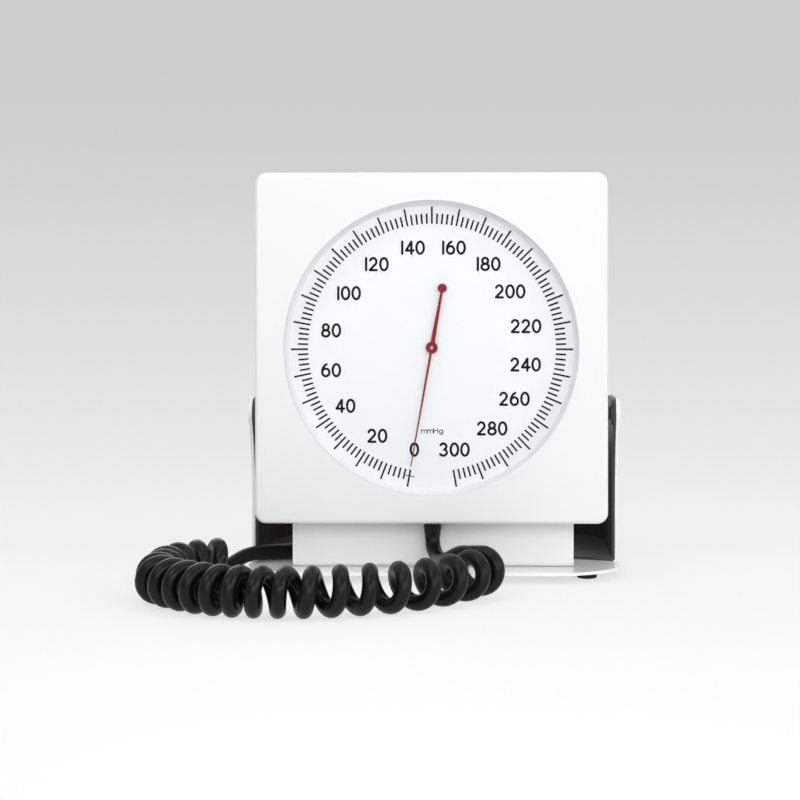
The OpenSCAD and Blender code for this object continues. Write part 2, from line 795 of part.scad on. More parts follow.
module movement_screws() {
    color("silver") at_pillars() {
        bar_y(pillar_hole_r, bridge_back - pillar_screw_len, pillar_screw_len);
        bar_y(pillar_r, bridge_back, pillar_head_t);
    }
}

module at_posts() {
    on_dial() for (x = [-1, 1]) translate([x * post_at, 0, 0]) children();
}

// Posts that hold the capsule's bridge off the gauge plate
module capsule_posts() {
    color("silver") at_posts() difference() {
        bar_y(post_r, plate_back, capsule_bridge_d - plate_back);
        bar_y(post_hole_r + fit, capsule_bridge_d + capsule_bridge_t - post_screw_len - 0.5, post_screw_len);
    }
}

module capsule_bridge() {
    color("silver") difference() {
        on_dial() along_y(capsule_bridge_d, capsule_bridge_t) union() {
            square([2 * post_at, 2 * capsule_bridge_r], center = true);
            for (x = [-1, 1]) translate([x * post_at, 0]) circle(capsule_bridge_r);
        }
        at_posts() bar_y(post_hole_r + fit, capsule_bridge_d - 1, capsule_bridge_t + 2);
        on_dial() bar_y(stem_r + fit, capsule_bridge_d - 1, capsule_bridge_t + 2);
    }
}

module post_screws() {
    color("silver") at_posts() {
        bar_y(post_hole_r, capsule_bridge_d + capsule_bridge_t - post_screw_len, post_screw_len);
        bar_y(post_r, capsule_bridge_d + capsule_bridge_t, post_head_t);
    }
}

// Half of the capsule: a thin dished disc with one ridge, its rim at height 0
module capsule_dish(middle_r) {
    h = capsule_half - 0.05;
    s = capsule_sheet;
    ridge = middle_r + ridge_w;
    rotate_extrude() polygon([[0, h - s], [ridge - ridge_w / 2, h - s], [ridge, h - s - ridge_h],
        [ridge + ridge_w / 2, h - s], [capsule_r * 0.7, h - s - 0.5], [capsule_r - rim_w, s / 2],
        [capsule_r - rim_w, 0], [capsule_r, 0], [capsule_r, s], [capsule_r - rim_w + s, s],
        [capsule_r * 0.7, h - 0.5], [ridge + ridge_w / 2, h], [ridge, h - ridge_h], [ridge - ridge_w / 2, h],
        [0, h]]);
}

module capsule_front() {
    color("goldenrod") on_dial() translate([0, at(capsule_mid), 0]) rotate([90, 0, 0]) capsule_dish(2);
}

// Rear half of the capsule, with the threaded stem that air comes in through
module capsule_rear() {
    color("goldenrod") on_dial() difference() {
        union() {
            translate([0, at(capsule_mid), 0]) rotate([-90, 0, 0]) capsule_dish(3);
            bar_y(stem_r + 1.5, stem_start, capsule_bridge_d - stem_start);
            bar_y(stem_r, stem_start, stem_end - stem_start);
        }
        bar_y(stem_bore, capsule_mid + 0.5, stem_end);
    }
}

module capsule_nut() {
    color("silver") on_dial() difference() {
        hex_y(nut_r, capsule_bridge_d + capsule_bridge_t, nut_t);
        bar_y(stem_r + fit, capsule_bridge_d, nut_t + 4);
    }
}

// Pin on the capsule's front that pushes the rocking shaft's short lever
module capsule_tip() {
    color("silver") on_dial() {
        bar_y(tip_r, tip_front, tip_len);
        bar_y(2 * tip_r, tip_front + tip_len - 0.6, 0.6);
    }
}

// Upright shaft with a short lever over the capsule's tip and a finger beside the sector's tail pin
module rocking_shaft() {
    color("silver") on_dial() translate([rocker_x, at(rocker_d), 0]) {
        translate([0, 0, rocker_bottom]) cylinder(r = rocker_r, h = rocker_top - rocker_bottom);
        translate([-rocker_lever - 1.5, -rocker_t / 2, -rocker_w / 2])
            cube([rocker_lever + 1.5, rocker_t, rocker_w]);
        translate([0, 0, tail_z - rocker_w / 2]) rotate([0, 0, -finger_angle])
            translate([-rocker_t / 2, -rocker_reach, 0]) cube([rocker_t, rocker_reach, rocker_w]);
    }
}

// One gear tooth pointing up, with its root circle at r
module tooth(r) {
    polygon([[-tooth_root_w / 2, r - tooth_in - 0.3], [-tooth_root_w / 2, r - tooth_in],
        [-tooth_tip_w / 2, r + tooth_out], [tooth_tip_w / 2, r + tooth_out],
        [tooth_root_w / 2, r - tooth_in], [tooth_root_w / 2, r - tooth_in - 0.3]]);
}

// Toothed sector, drawn at its rest position
module sector_gear() {
    half = sector_pitch * (sector_side_teeth + 0.6);
    color("goldenrod") on_dial() translate([sector_x, 0, sector_z]) {
        along_y(sector_front, sector_t) difference() {
            union() {
                circle(sector_hub_r);
                rotate(line_angle - 90 - sector_swing / 2) {
                    polygon([[-1.6, 0], [-2.4, sector_r - 3], [2.4, sector_r - 3], [1.6, 0]]);
                    intersection() {
                        difference() {
                            circle(sector_r - tooth_in, $fn = 180);
                            circle(sector_r - 4, $fn = 180);
                        }
                        polygon([[0, 0], 2 * sector_r * [-sin(half), cos(half)],
                            2 * sector_r * [0, 1], 2 * sector_r * [sin(half), cos(half)]]);
                    }
                    for (k = [-sector_side_teeth : sector_side_teeth]) rotate(k * sector_pitch)
                        tooth(sector_r);
                }
                rotate(-sector_swing / 2) translate([-1.1, -tail_r]) square([2.2, tail_r]);
                rotate(-sector_swing / 2) translate([0, -tail_r]) circle(1.1);
            }
            circle(arbor_r + fit);
        }
        rotate([0, sector_swing / 2, 0]) translate([0, 0, -tail_r])
            bar_y(tail_pin_r, sector_front + sector_t - 0.1, tail_pin_len + 0.4);
    }
}

module sector_arbor() {
    color("silver") on_dial() translate([sector_x, 0, sector_z])
        bar_y(arbor_r, plate_front + 0.4, arbor_end - plate_front - 0.4);
}

// Shaft through the dial with the pinion cut on it, drawn at its rest position
module pinion_arbor() {
    rest = line_angle + 180 + tooth_pitch / 2 + sweep_angle / 2;
    color("silver") on_dial() {
        bar_y(arbor_r, pointer_front - arbor_dot, arbor_end - pointer_front + arbor_dot);
        along_y(pinion_front, pinion_len) union() {
            circle(pinion_r - tooth_in);
            for (k = [0 : pinion_teeth - 1]) rotate(rest + k * tooth_pitch - 90) tooth(pinion_r);
        }
    }
}

// Pointer with its middle disc and the disc on its tail, standing at zero
module pointer() {
    color([0.6, 0.08, 0.12]) on_dial() along_y(pointer_front, pointer_t) rotate(-zero_angle) difference() {
        union() {
            polygon([[-tail_end_w / 2, tail_len], [-tail_root_w / 2, hub_r], [-blade_root_w / 2, -hub_r],
                [-blade_tip_w / 2, -pointer_len + blade_tip_w], [0, -pointer_len],
                [blade_tip_w / 2, -pointer_len + blade_tip_w], [blade_root_w / 2, -hub_r],
                [tail_root_w / 2, hub_r], [tail_end_w / 2, tail_len]]);
            circle(pointer_disc_r);
            translate([0, tail_len]) circle(tail_disc_r);
        }
        circle(arbor_r + fit);
    }
}

module pointer_hub() {
    color("goldenrod") on_dial() difference() {
        bar_y(hub_r, pointer_front + pointer_t, hub_len);
        bar_y(arbor_r + fit, pointer_front, 4);
    }
}

// Flat spiral from the arbor to the stud
module hairspring() {
    n = spring_turns * spring_steps;
    function spiral_r(i) = spring_in + (spring_out - spring_in) * i / n;
    function spiral(i, side) = let (a = 360 * i / spring_steps) (spiral_r(i) + side) * [cos(a), sin(a)];
    color("goldenrod") on_dial() along_y(spring_front, spring_t) polygon(concat(
        [for (i = [0 : n]) spiral(i, spring_w / 2)], [for (i = [n : -1 : 0]) spiral(i, -spring_w / 2)]));
}

module spring_stud() {
    color("goldenrod") on_dial() translate([spring_out + spring_w / 2 + stud_r, 0, 0])
        bar_y(stud_r, plate_back, spring_front + spring_t + 0.4 - plate_back);
}

// Elbow on the capsule's stem, its barb pointing down
module pressure_elbow() {
    color("goldenrod") on_dial() difference() {
        union() {
            bar_y(elbow_r, stem_end - 1.2, elbow_d - stem_end + 1.2 + elbow_back);
            translate([0, at(elbow_d), -barb_len]) cylinder(r = barb_r, h = barb_len);
        }
        bar_y(stem_r + fit, stem_end - 2, 2 + slip);
        bar_y(stem_bore, stem_end - 1, elbow_d - stem_end + 1);
        translate([0, at(elbow_d), -barb_len - 1]) cylinder(r = stem_bore, h = barb_len + 1);
    }
}

// Points of a route moved into the frame of the part
function placed(route) = [for (p = route) [p[0], at(p[1]), p[2]]];

function unit(v) = v / norm(v);

// Catmull-Rom point between b and c
function rounded(a, b, c, d, t) = 0.5 * (2 * b + (c - a) * t + (2 * a - 5 * b + 4 * c - d) * t * t
    + (3 * b - a - 3 * c + d) * t * t * t);

// A smooth line through the points of a route, with the given steps between two of them
function smooth(route, steps) = let (n = len(route) - 1) concat([for (i = [0 : n - 1], k = [0 : steps - 1])
    rounded(route[max(i - 1, 0)], route[i], route[i + 1], route[min(i + 2, n)], k / steps)], [route[n]]);

function tangent(line, i) = unit(line[min(i + 1, len(line) - 1)] - line[max(i - 1, 0)]);

// A side direction carried along the line without twisting
function carried(line, i, side) = let (t = tangent(line, i)) unit(side - (side * t) * t);
function sides(line, start) = let (n = len(line) - 1)
    [for (i = 0, s = carried(line, 0, start); i <= n; i = i + 1, s = i <= n ? carried(line, i, s) : s) s];

// A closed tube of a given radius along a line, its ends square to the line
module swept_tube(line, r, faces, start) {
    n = len(line);
    s = sides(line, start);
    points = [for (i = [0 : n - 1]) let (t = tangent(line, i), u = s[i], v = cross(t, u))
        for (k = [0 : faces - 1]) line[i] + r * (cos(360 * k / faces) * u + sin(360 * k / faces) * v)];
    skin = [for (i = [0 : n - 2], k = [0 : faces - 1])
        let (a = i * faces + k, b = i * faces + (k + 1) % faces)
        each [[a, b, a + faces], [b, b + faces, a + faces]]];
    first = [for (k = [1 : faces - 2]) [0, k + 1, k]];
    last = [for (k = [1 : faces - 2]) [(n - 1) * faces, (n - 1) * faces + k, (n - 1) * faces + k + 1]];
    polyhedron(points, [for (f = concat(skin, first, last)) [f[2], f[1], f[0]]]);
}

// Tube inside the case, from the nipple up and back to the elbow
tube_low = case_lift + nipple_barb_len;
tube_climb = 41;
function tube_point(back, up) = [0, nipple_d + back * (elbow_d - nipple_d), tube_low + up * tube_climb];
inner_route = [tube_point(0, 0), tube_point(0, 0.08), tube_point(0, 0.17), tube_point(0.08, 0.34),
    tube_point(0.5, 0.56), tube_point(0.92, 0.8), tube_point(1, 1),
    [0, elbow_d, dial_z - barb_len - 2 * tube_r], [0, elbow_d, dial_z - barb_len - tube_r],
    [0, elbow_d, dial_z - barb_len]];

module inner_tube() {
    color([0.2, 0.2, 0.2]) swept_tube(smooth(placed(inner_route), 4), tube_r, 8, [1, 0, 0]);
}

// Plug in the underside of the case: barb inside, collar for the hose below
module hose_nipple() {
    color([0.1, 0.1, 0.1]) translate([0, at(nipple_d), 0]) difference() {
        union() {
            translate([0, 0, drop_top]) cylinder(r = hose_r, h = collar_len);
            translate([0, 0, case_lift - eps])
                cylinder(r = nipple_r, h = case_wall + nipple_nut_t + 0.6 + eps);
            translate([0, 0, case_lift]) cylinder(r = barb_r, h = nipple_barb_len);
        }
        translate([0, 0, drop_top - 1]) cylinder(r = nipple_bore, h = collar_len + nipple_barb_len + 2);
    }
}

module nipple_nut() {
    color("silver") translate([0, at(nipple_d), case_lift + case_wall]) difference() {
        cylinder(r = nipple_nut_r, h = nipple_nut_t, $fn = 6);
        translate([0, 0, -1]) cylinder(r = nipple_r + fit, h = nipple_nut_t + 2);
    }
}

// The line of the curls, the point at a share of it, and the way it runs there
coil_axis = smooth([for (p = coil_line) [p[0], at(p[1]), curl_z + p[2]]], 6);
axis_end = len(coil_axis) - 1;
function coil_place(u) = [for (i = [0 : 2])
    lookup(u * axis_end, [for (k = [0 : axis_end]) [k, coil_axis[k][i]]])];
function coil_way(u) = let (step = coil_place(min(u + 0.02, 1)) - coil_place(max(u - 0.02, 0)))
    unit([step[0], step[1], 0]);
function coil_point(u) = let (turn = 360 * (curl_start + u * curls), way = coil_way(u))
    coil_place(u) + curl_r * (cos(turn) * cross(way, [0, 0, 1]) + sin(turn) * [0, 0, 1])
        + curl_lean * sin(turn) * way;
// The curls' points, with a straight stretch of one diameter at either end
coil_steps = round(curls * curl_steps);
coil_points = concat([coil_point(0) + hose_d * unit(coil_point(0) - coil_point(curl_nudge))],
    [for (k = [0 : coil_steps]) coil_point(k / coil_steps)],
    [coil_point(1) + hose_d * unit(coil_point(1) - coil_point(1 - curl_nudge))]);
drop_line = smooth(concat(placed(drop_route), [coil_points[0]]), 3);
run_line = smooth(concat([coil_points[len(coil_points) - 1]], placed(run_route)), 3);

// Least distance between points of strands that are at least half a curl apart, less the diameter
coil_gap = min([for (i = [0 : len(coil_points) - 1], j = [i + curl_steps / 2 : 1 : min(i + 3 * curl_steps,
    len(coil_points) - 1)]) norm(coil_points[i] - coil_points[j])]) - hose_d;
coil_hose = [for (i = 1, s = norm(coil_points[1] - coil_points[0]); i < len(coil_points);
    i = i + 1, s = i < len(coil_points) ? s + norm(coil_points[i] - coil_points[i - 1]) : s) s];
echo(coil_least_gap = coil_gap, coil_hose_length = coil_hose[len(coil_hose) - 1]);

// Straight part of the hose, from the case down to the first curl
module hose_drop() {
    color([0.07, 0.07, 0.08]) swept_tube(drop_line, hose_r, 8, [1, 0, 0]);
}

// Straight part of the hose, from the last curl into the tray
module hose_run() {
    color([0.07, 0.07, 0.08]) swept_tube(run_line, hose_r, 8, [0, 0, 1]);
}

module hose_coil() {
    color([0.07, 0.07, 0.08]) swept_tube(coil_points, hose_r, 6, [0, 0, 1]);
}

// Connector at the end of the hose, with a stub for the cuff's tube
module tube_connector() {
    color([0.85, 0.85, 0.85]) translate([0, at(plug_d), table_z]) difference() {
        union() {
            bar_x(plug_r - 0.8, plug_x, 4);
            bar_x(plug_r, plug_x + 4, plug_len - 4);
            bar_x(stub_r, plug_x + plug_len, stub_len);
        }
        bar_x(nipple_bore, plug_x + 2, plug_len + stub_len);
    }
}

stand_bracket();
rubber_feet();
front_panel();
panel_screws();
cuff_tray();
tray_screws();
tray_nuts();
front_shell();
rear_cover();
cover_screws();
dial_glass();
dial_ring();
dial_plate();
gauge_plate();
gauge_screws();
pivot_inserts();
pivot_spacers();
pivot_screws();
movement_pillars();
movement_bridge();
movement_screws();
capsule_posts();
capsule_bridge();
post_screws();
capsule_front();
capsule_rear();
capsule_nut();
capsule_tip();
rocking_shaft();
sector_gear();
sector_arbor();
pinion_arbor();
pointer();
pointer_hub();
hairspring();
spring_stud();
pressure_elbow();
inner_tube();
hose_nipple();
nipple_nut();
hose_drop();
hose_coil();
hose_run();
tube_connector();
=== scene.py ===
import json
import math
import bpy
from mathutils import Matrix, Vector

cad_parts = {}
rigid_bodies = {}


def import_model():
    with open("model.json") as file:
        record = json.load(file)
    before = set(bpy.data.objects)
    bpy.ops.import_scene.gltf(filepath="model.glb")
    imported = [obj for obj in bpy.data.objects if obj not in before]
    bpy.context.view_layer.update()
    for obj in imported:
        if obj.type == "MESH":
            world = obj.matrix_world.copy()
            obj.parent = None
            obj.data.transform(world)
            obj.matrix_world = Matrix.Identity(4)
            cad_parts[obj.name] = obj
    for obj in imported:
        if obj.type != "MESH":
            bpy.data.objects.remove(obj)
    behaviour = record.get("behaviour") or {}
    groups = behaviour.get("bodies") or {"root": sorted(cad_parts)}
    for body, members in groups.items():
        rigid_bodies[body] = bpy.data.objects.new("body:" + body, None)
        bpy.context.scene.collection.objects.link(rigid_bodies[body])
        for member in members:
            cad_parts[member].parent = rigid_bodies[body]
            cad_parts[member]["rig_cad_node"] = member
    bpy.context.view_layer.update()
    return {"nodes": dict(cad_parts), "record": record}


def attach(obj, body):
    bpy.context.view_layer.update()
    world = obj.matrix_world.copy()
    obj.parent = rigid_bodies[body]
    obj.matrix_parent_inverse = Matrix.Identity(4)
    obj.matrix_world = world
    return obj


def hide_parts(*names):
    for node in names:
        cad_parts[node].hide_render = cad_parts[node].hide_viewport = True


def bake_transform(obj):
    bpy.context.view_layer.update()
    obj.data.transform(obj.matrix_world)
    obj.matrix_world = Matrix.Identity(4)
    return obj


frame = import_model()
nodes = frame["nodes"]
mm = 0.001
frontY = -84.0  # the front of the case, in mm; depths count back from here
caseMiddle = 118.5  # the height of the dial's middle, in mm
smoothAngle = math.radians(35)  # edges sharper than this stay edges

print("camera")
camera = {"place": (0.038, -0.984, 0.1325), "level": 90, "turnLeft": 0.95, "lens": 81, "sensor": 36,
          "shift": (-0.0966, -0.1), "reach": 400}
bpy.ops.object.camera_add(location=camera["place"], rotation=(
    math.radians(camera["level"]), 0, math.radians(camera["turnLeft"])))
cameraObject = bpy.context.active_object
cameraObject.data.lens = camera["lens"]
cameraObject.data.sensor_width = camera["sensor"]
cameraObject.data.shift_x, cameraObject.data.shift_y = camera["shift"]
cameraObject.data.clip_end = camera["reach"]
bpy.context.scene.camera = cameraObject


def spot(x, depth, z):  # mm from the middle, behind the case's front, above the table
    return Vector((x * mm, (frontY + depth) * mm, z * mm))


def clearSelection():
    bpy.ops.object.select_all(action="DESELECT")


def pick(piece):
    clearSelection()
    piece.select_set(True)
    bpy.context.view_layer.objects.active = piece


def settle(piece):
    pick(piece)
    bpy.ops.object.transform_apply(location=True, rotation=True, scale=True)
    return piece


def applyModifiers(piece):
    pick(piece)
    for modifier in list(piece.modifiers):
        bpy.ops.object.modifier_apply(modifier=modifier.name)
    return piece


def joined(pieces, name):
    clearSelection()
    for piece in pieces:
        piece.select_set(True)
    bpy.context.view_layer.objects.active = pieces[0]
    if len(pieces) > 1:
        bpy.ops.object.join()
    pieces[0].name = name
    return pieces[0]


def roundedLine(points, steps):  # a smooth line through the points
    line = []
    for i in range(len(points) - 1):
        a, b = points[max(i - 1, 0)], points[i]
        c, d = points[i + 1], points[min(i + 2, len(points) - 1)]
        for k in range(steps):
            t = k / steps
            line.append((2 * b + (c - a) * t + (2 * a - 5 * b + 4 * c - d) * t * t
                         + (3 * b - a - 3 * c + d) * t ** 3) / 2)
    return line + [points[-1]]


def lineLength(line):
    return sum((b - a).length for a, b in zip(line, line[1:]))


def hoseTube(name, path, radii, sides):
    bpy.ops.curve.primitive_nurbs_path_add()
    piece = bpy.context.active_object
    piece.name = name
    curve = piece.data
    curve.splines.clear()
    spline = curve.splines.new("POLY")
    spline.points.add(len(path) - 1)
    for point, place, radius in zip(spline.points, path, radii):
        point.co = (*place, 1)
        point.radius = radius
    curve.dimensions = "3D"
    curve.bevel_depth = mm
    curve.bevel_resolution = sides // 2 - 2  # gives a tube with that many sides
    curve.use_fill_caps = True
    bpy.ops.object.convert(target="MESH")
    bpy.ops.object.shade_smooth()
    return piece


print("hose")
hose = {"thick": 7.5, "curlAcross": 23.7, "curls": 21.12, "firstTurn": 0.235, "lean": 1.0, "lift": 0.02,
        "flare": 4.55, "flareFrom": 28.5, "flareTo": 20.5, "sides": 20, "stepsPerCurl": 28,
        "stepsPerPoint": 6, "axisSteps": 12}
dropRoute = [(0, 16, 28.5), (0, 16, 24.75), (0, 16, 21), (0.7, 14, 16.5), (2.9, 8, 13), (5.2, -1.4, 12.6),
             (6.9, -11.4, 13.9), (8.9, -20.3, 15.4), (11.7, -27.2, 17.7), (15.6, -31.5, 19.9)]
runRoute = [(-113.5, 9.3, 10.8), (-114.1, 13.7, 7.8), (-112, 19.5, 5.6), (-106.8, 25.8, 5.4),
            (-102.4, 30.7, 7.7), (-97.9, 34.8, 9.9), (-92.1, 39, 11), (-84.9, 43.5, 11.1),
            (-77, 47.8, 11), (-66, 53.5, 11.6), (-56, 60, 12.4), (-48.5, 67, 12.65),
            (-42.5, 71.8, 12.65), (-37.5, 74, 12.65), (-30, 74, 12.65)]
curlLine = [(26.9, -38, 1), (18.6, -54.2, 0.3), (4.1, -73.3, 0), (-12.4, -88.5, 0), (-30.7, -96.9, 0),
            (-47.8, -103.4, 0), (-64, -103.8, 0), (-78.8, -102.1, 0), (-91.7, -97.5, 0),
            (-103.8, -89.2, 0), (-114.8, -78, 0), (-124.3, -63.8, 0), (-124.9, -48.1, 0),
            (-125.7, -30.5, 0), (-118.8, -12.8, 0), (-106.7, -3.1, 0)]  # side, depth, lift
curlHeight = hose["curlAcross"] / 2 + hose["lift"]
curlMiddles = [spot(x, depth, curlHeight + lift) for x, depth, lift in curlLine]
curlAxis = roundedLine(curlMiddles, hose["axisSteps"])
nearby = 0.02  # the share of the axis, either way, that gives its direction
tiny = 0.0001  # the share of the curls that gives the direction of their ends


def axisPlace(share):
    reach = min(max(share, 0), 1) * (len(curlAxis) - 1)
    i = min(int(reach), len(curlAxis) - 2)
    return curlAxis[i].lerp(curlAxis[i + 1], reach - i)


def curlPoint(share):
    way = axisPlace(share + nearby) - axisPlace(share - nearby)
    way.z = 0
    way.normalize()
    up = Vector((0, 0, 1))
    turn = math.tau * (hose["firstTurn"] + share * hose["curls"])
    radius = (hose["curlAcross"] - hose["thick"]) / 2 * mm
    return (axisPlace(share) + radius * (math.cos(turn) * way.cross(up) + math.sin(turn) * up)
            + hose["lean"] * mm * math.sin(turn) * way)


def straightEnd(share, inner):  # one diameter straight on from an end of the curls
    end = curlPoint(share)
    return end + hose["thick"] * mm * (end - curlPoint(inner)).normalized()


curlSteps = round(hose["curls"] * hose["stepsPerCurl"])
curls = [curlPoint(k / curlSteps) for k in range(curlSteps + 1)]
hoseIn, hoseOut = straightEnd(0, tiny), straightEnd(1, 1 - tiny)
dropPath = roundedLine([spot(*p) for p in dropRoute] + [hoseIn], hose["stepsPerPoint"])
runPath = roundedLine([hoseOut] + [spot(*p) for p in runRoute], hose["stepsPerPoint"])
curlPath = [hoseIn] + curls + runPath
hoseRadius = hose["thick"] / 2


def dropRadius(place):  # stretched where it is pushed over the nipple
    share = (place.z / mm - hose["flareTo"]) / (hose["flareFrom"] - hose["flareTo"])
    share = min(max(share, 0), 1)
    return hoseRadius + (hose["flare"] - hoseRadius) * share * share * (3 - 2 * share)


hoseDrop = hoseTube("hoseDrop", dropPath, [dropRadius(p) for p in dropPath], hose["sides"])
hoseCurls = hoseTube("hoseCurls", curlPath, [hoseRadius] * len(curlPath), hose["sides"])
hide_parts("hose_drop")
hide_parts("hose_coil", "hose_run")
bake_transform(hoseDrop)
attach(hoseCurls, "stand")


def turned(name, profile, steps=48):  # a lathe job: radius and height, from the bottom up, round +Z
    clearSelection()
    bpy.ops.mesh.primitive_plane_add(size=mm)
    piece = bpy.context.active_object
    piece.name = name
    bpy.ops.object.mode_set(mode="EDIT")
    bpy.ops.mesh.select_mode(type="VERT")
    bpy.ops.mesh.merge(type="CENTER")
    bpy.ops.transform.translate(value=(profile[0][0] * mm, 0, profile[0][1] * mm))
    for (r0, h0), (r1, h1) in zip(profile, profile[1:]):
        step = ((r1 - r0) * mm, 0, (h1 - h0) * mm)
        bpy.ops.mesh.extrude_region_move(TRANSFORM_OT_translate={"value": step})
    bpy.ops.mesh.select_all(action="SELECT")
    bpy.ops.mesh.spin(steps=steps, angle=math.tau, center=(0, 0, 0), axis=(0, 0, 1))
    bpy.ops.mesh.select_all(action="SELECT")
    bpy.ops.mesh.remove_doubles(threshold=1e-6)
    bpy.ops.mesh.normals_make_consistent(inside=False)
    bpy.ops.object.mode_set(mode="OBJECT")
    bpy.ops.object.shade_smooth_by_angle(angle=smoothAngle)
    return piece


def placed(piece, place, lean=(0, 0, 0)):  # turned by lean, in degrees, then moved
    piece.rotation_euler = [math.radians(a) for a in lean]
    piece.location = place
    return settle(piece)


def copiesAt(piece, places, name):  # the piece lies at the origin; each copy has its own mesh
    made = []
    for place in places:
        pick(piece)
        bpy.ops.object.duplicate(linked=False)
        copy = bpy.context.active_object
        copy.location = place
        made.append(settle(copy))
    pick(piece)
    bpy.ops.object.delete()
    return joined(made, name)


def cutWith(piece, cutter):  # the cutter is used up
    cut = piece.modifiers.new("cut", "BOOLEAN")
    cut.operation = "DIFFERENCE"
    cut.solver = "EXACT"
    cut.object = cutter
    applyModifiers(piece)
    pick(cutter)
    bpy.ops.object.delete()
    pick(piece)
    bpy.ops.object.shade_smooth_by_angle(angle=smoothAngle)
    return piece


easing = {"steps": 2, "flatter": 100, "weld": 2e-6, "flat": 0.6}  # weld in metres, flat in degrees


def softenEdges(piece, width):
    bevel = piece.modifiers.new("soften", "BEVEL")
    bevel.width = width * mm
    bevel.segments = easing["steps"]
    bevel.limit_method = "ANGLE"
    bevel.angle_limit = smoothAngle
    bevel.use_clamp_overlap = True
    applyModifiers(piece)
    bpy.ops.object.shade_smooth_by_angle(angle=smoothAngle)
    even = piece.modifiers.new("even", "WEIGHTED_NORMAL")  # broad faces stay flat
    even.keep_sharp = True
    even.weight = easing["flatter"]
    applyModifiers(piece)
    return piece


def softCopy(node, name, width):  # the node's own shape with its edges eased
    pick(nodes[node])
    bpy.ops.object.duplicate(linked=False)
    piece = bpy.context.active_object
    piece.name = name
    if "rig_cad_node" in piece:
        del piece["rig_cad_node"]
    piece.parent = None
    bpy.ops.object.mode_set(mode="EDIT")
    bpy.ops.mesh.select_mode(type="VERT")
    bpy.ops.mesh.select_all(action="SELECT")
    bpy.ops.mesh.remove_doubles(threshold=easing["weld"])
    bpy.ops.mesh.dissolve_limited(angle_limit=math.radians(easing["flat"]))
    bpy.ops.object.mode_set(mode="OBJECT")
    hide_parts(node)
    return softenEdges(piece, width)


crossTool = {"above": 0.3, "floorShare": 0.62}  # how far it stands out of the head; its narrower end


def crossCutter(across, wide, deep, top):  # two bars that cut the recess of a cross-head screw
    bars = []
    for size in ((across, wide), (wide, across)):
        clearSelection()
        middle = top - deep / 2 + crossTool["above"]
        bpy.ops.mesh.primitive_cube_add(size=1, location=(0, 0, middle * mm))
        bar = bpy.context.active_object
        bar.scale = (size[0] * mm, size[1] * mm, (deep + 2 * crossTool["above"]) * mm)
        bars.append(settle(bar))
        bpy.ops.object.mode_set(mode="EDIT")
        bpy.ops.mesh.select_mode(type="FACE")
        bpy.ops.mesh.select_all(action="DESELECT")
        bpy.ops.object.mode_set(mode="OBJECT")
        for face in bar.data.polygons:
            face.select = face.normal.z < -0.5  # the lower end
        bpy.ops.object.mode_set(mode="EDIT")
        bpy.ops.transform.resize(value=(crossTool["floorShare"], crossTool["floorShare"], 1))
        bpy.ops.object.mode_set(mode="OBJECT")
    return bars


print("connector")
connector = {"place": spot(-30, 74, 12.65), "neck": 4.2, "barrel": 5, "length": 16, "stub": 2.1,
             "stubLength": 9, "bore": 1.2, "boreDepth": 3, "groove": 0.35, "grooves": 6, "firstGroove": 5.6,
             "pitch": 1.5}
neck, barrel, stub, bore = (connector[part] for part in ("neck", "barrel", "stub", "bore"))
end = connector["length"]
tip = end + connector["stubLength"]
profile = [(0, 0), (3.8, 0), (neck, 0.4), (neck, 4), (4.7, 4.1), (barrel, 4.5)]
for k in range(connector["grooves"]):
    at = connector["firstGroove"] + connector["pitch"] * k
    floorRadius = barrel - connector["groove"]
    profile += [(barrel, at), (floorRadius, at + 0.3), (floorRadius, at + 0.6), (barrel, at + 0.9)]
profile += [(barrel, end - 0.9), (4.1, end), (stub, end), (stub, tip - 0.5), (1.8, tip), (bore, tip),
            (bore, end - connector["boreDepth"]), (0, end - connector["boreDepth"])]
hoseConnector = placed(turned("hoseConnector", profile), connector["place"], (0, 90, 0))
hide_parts("tube_connector")
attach(hoseConnector, "stand")
dropLength, curlLength = lineLength(dropPath), lineLength(curlPath)
print("hose lengths", dropLength, curlLength)

print("sheet and mouldings")
eased = {  # node: piece, edge radius in mm, body, slot
    "front_shell": ("frontShell", 0.3, "gauge_case", "case_plastic"),
    "rear_cover": ("rearCover", 0.3, "gauge_case", "cover_plastic"),
    "dial_ring": ("dialRing", 0.15, "gauge_case", "dial_enamel"),
    "stand_bracket": ("standBracket", 0.45, "stand", "stand_enamel"),
    "front_panel": ("frontPanel", 0.3, "stand", "stand_enamel"),
    "cuff_tray": ("cuffTray", 0.35, "stand", "tray_plastic"),
    "pivot_spacers": ("pivotSpacers", 0.2, "gauge_case", "black_plastic"),
    "pointer": ("pointerBlade", 0.06, "pointer", "pointer_red"),
}
madePieces = []
for node, (name, width, body, slot) in eased.items():
    piece = softCopy(node, name, width)
    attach(piece, body)
    madePieces.append((piece, slot))

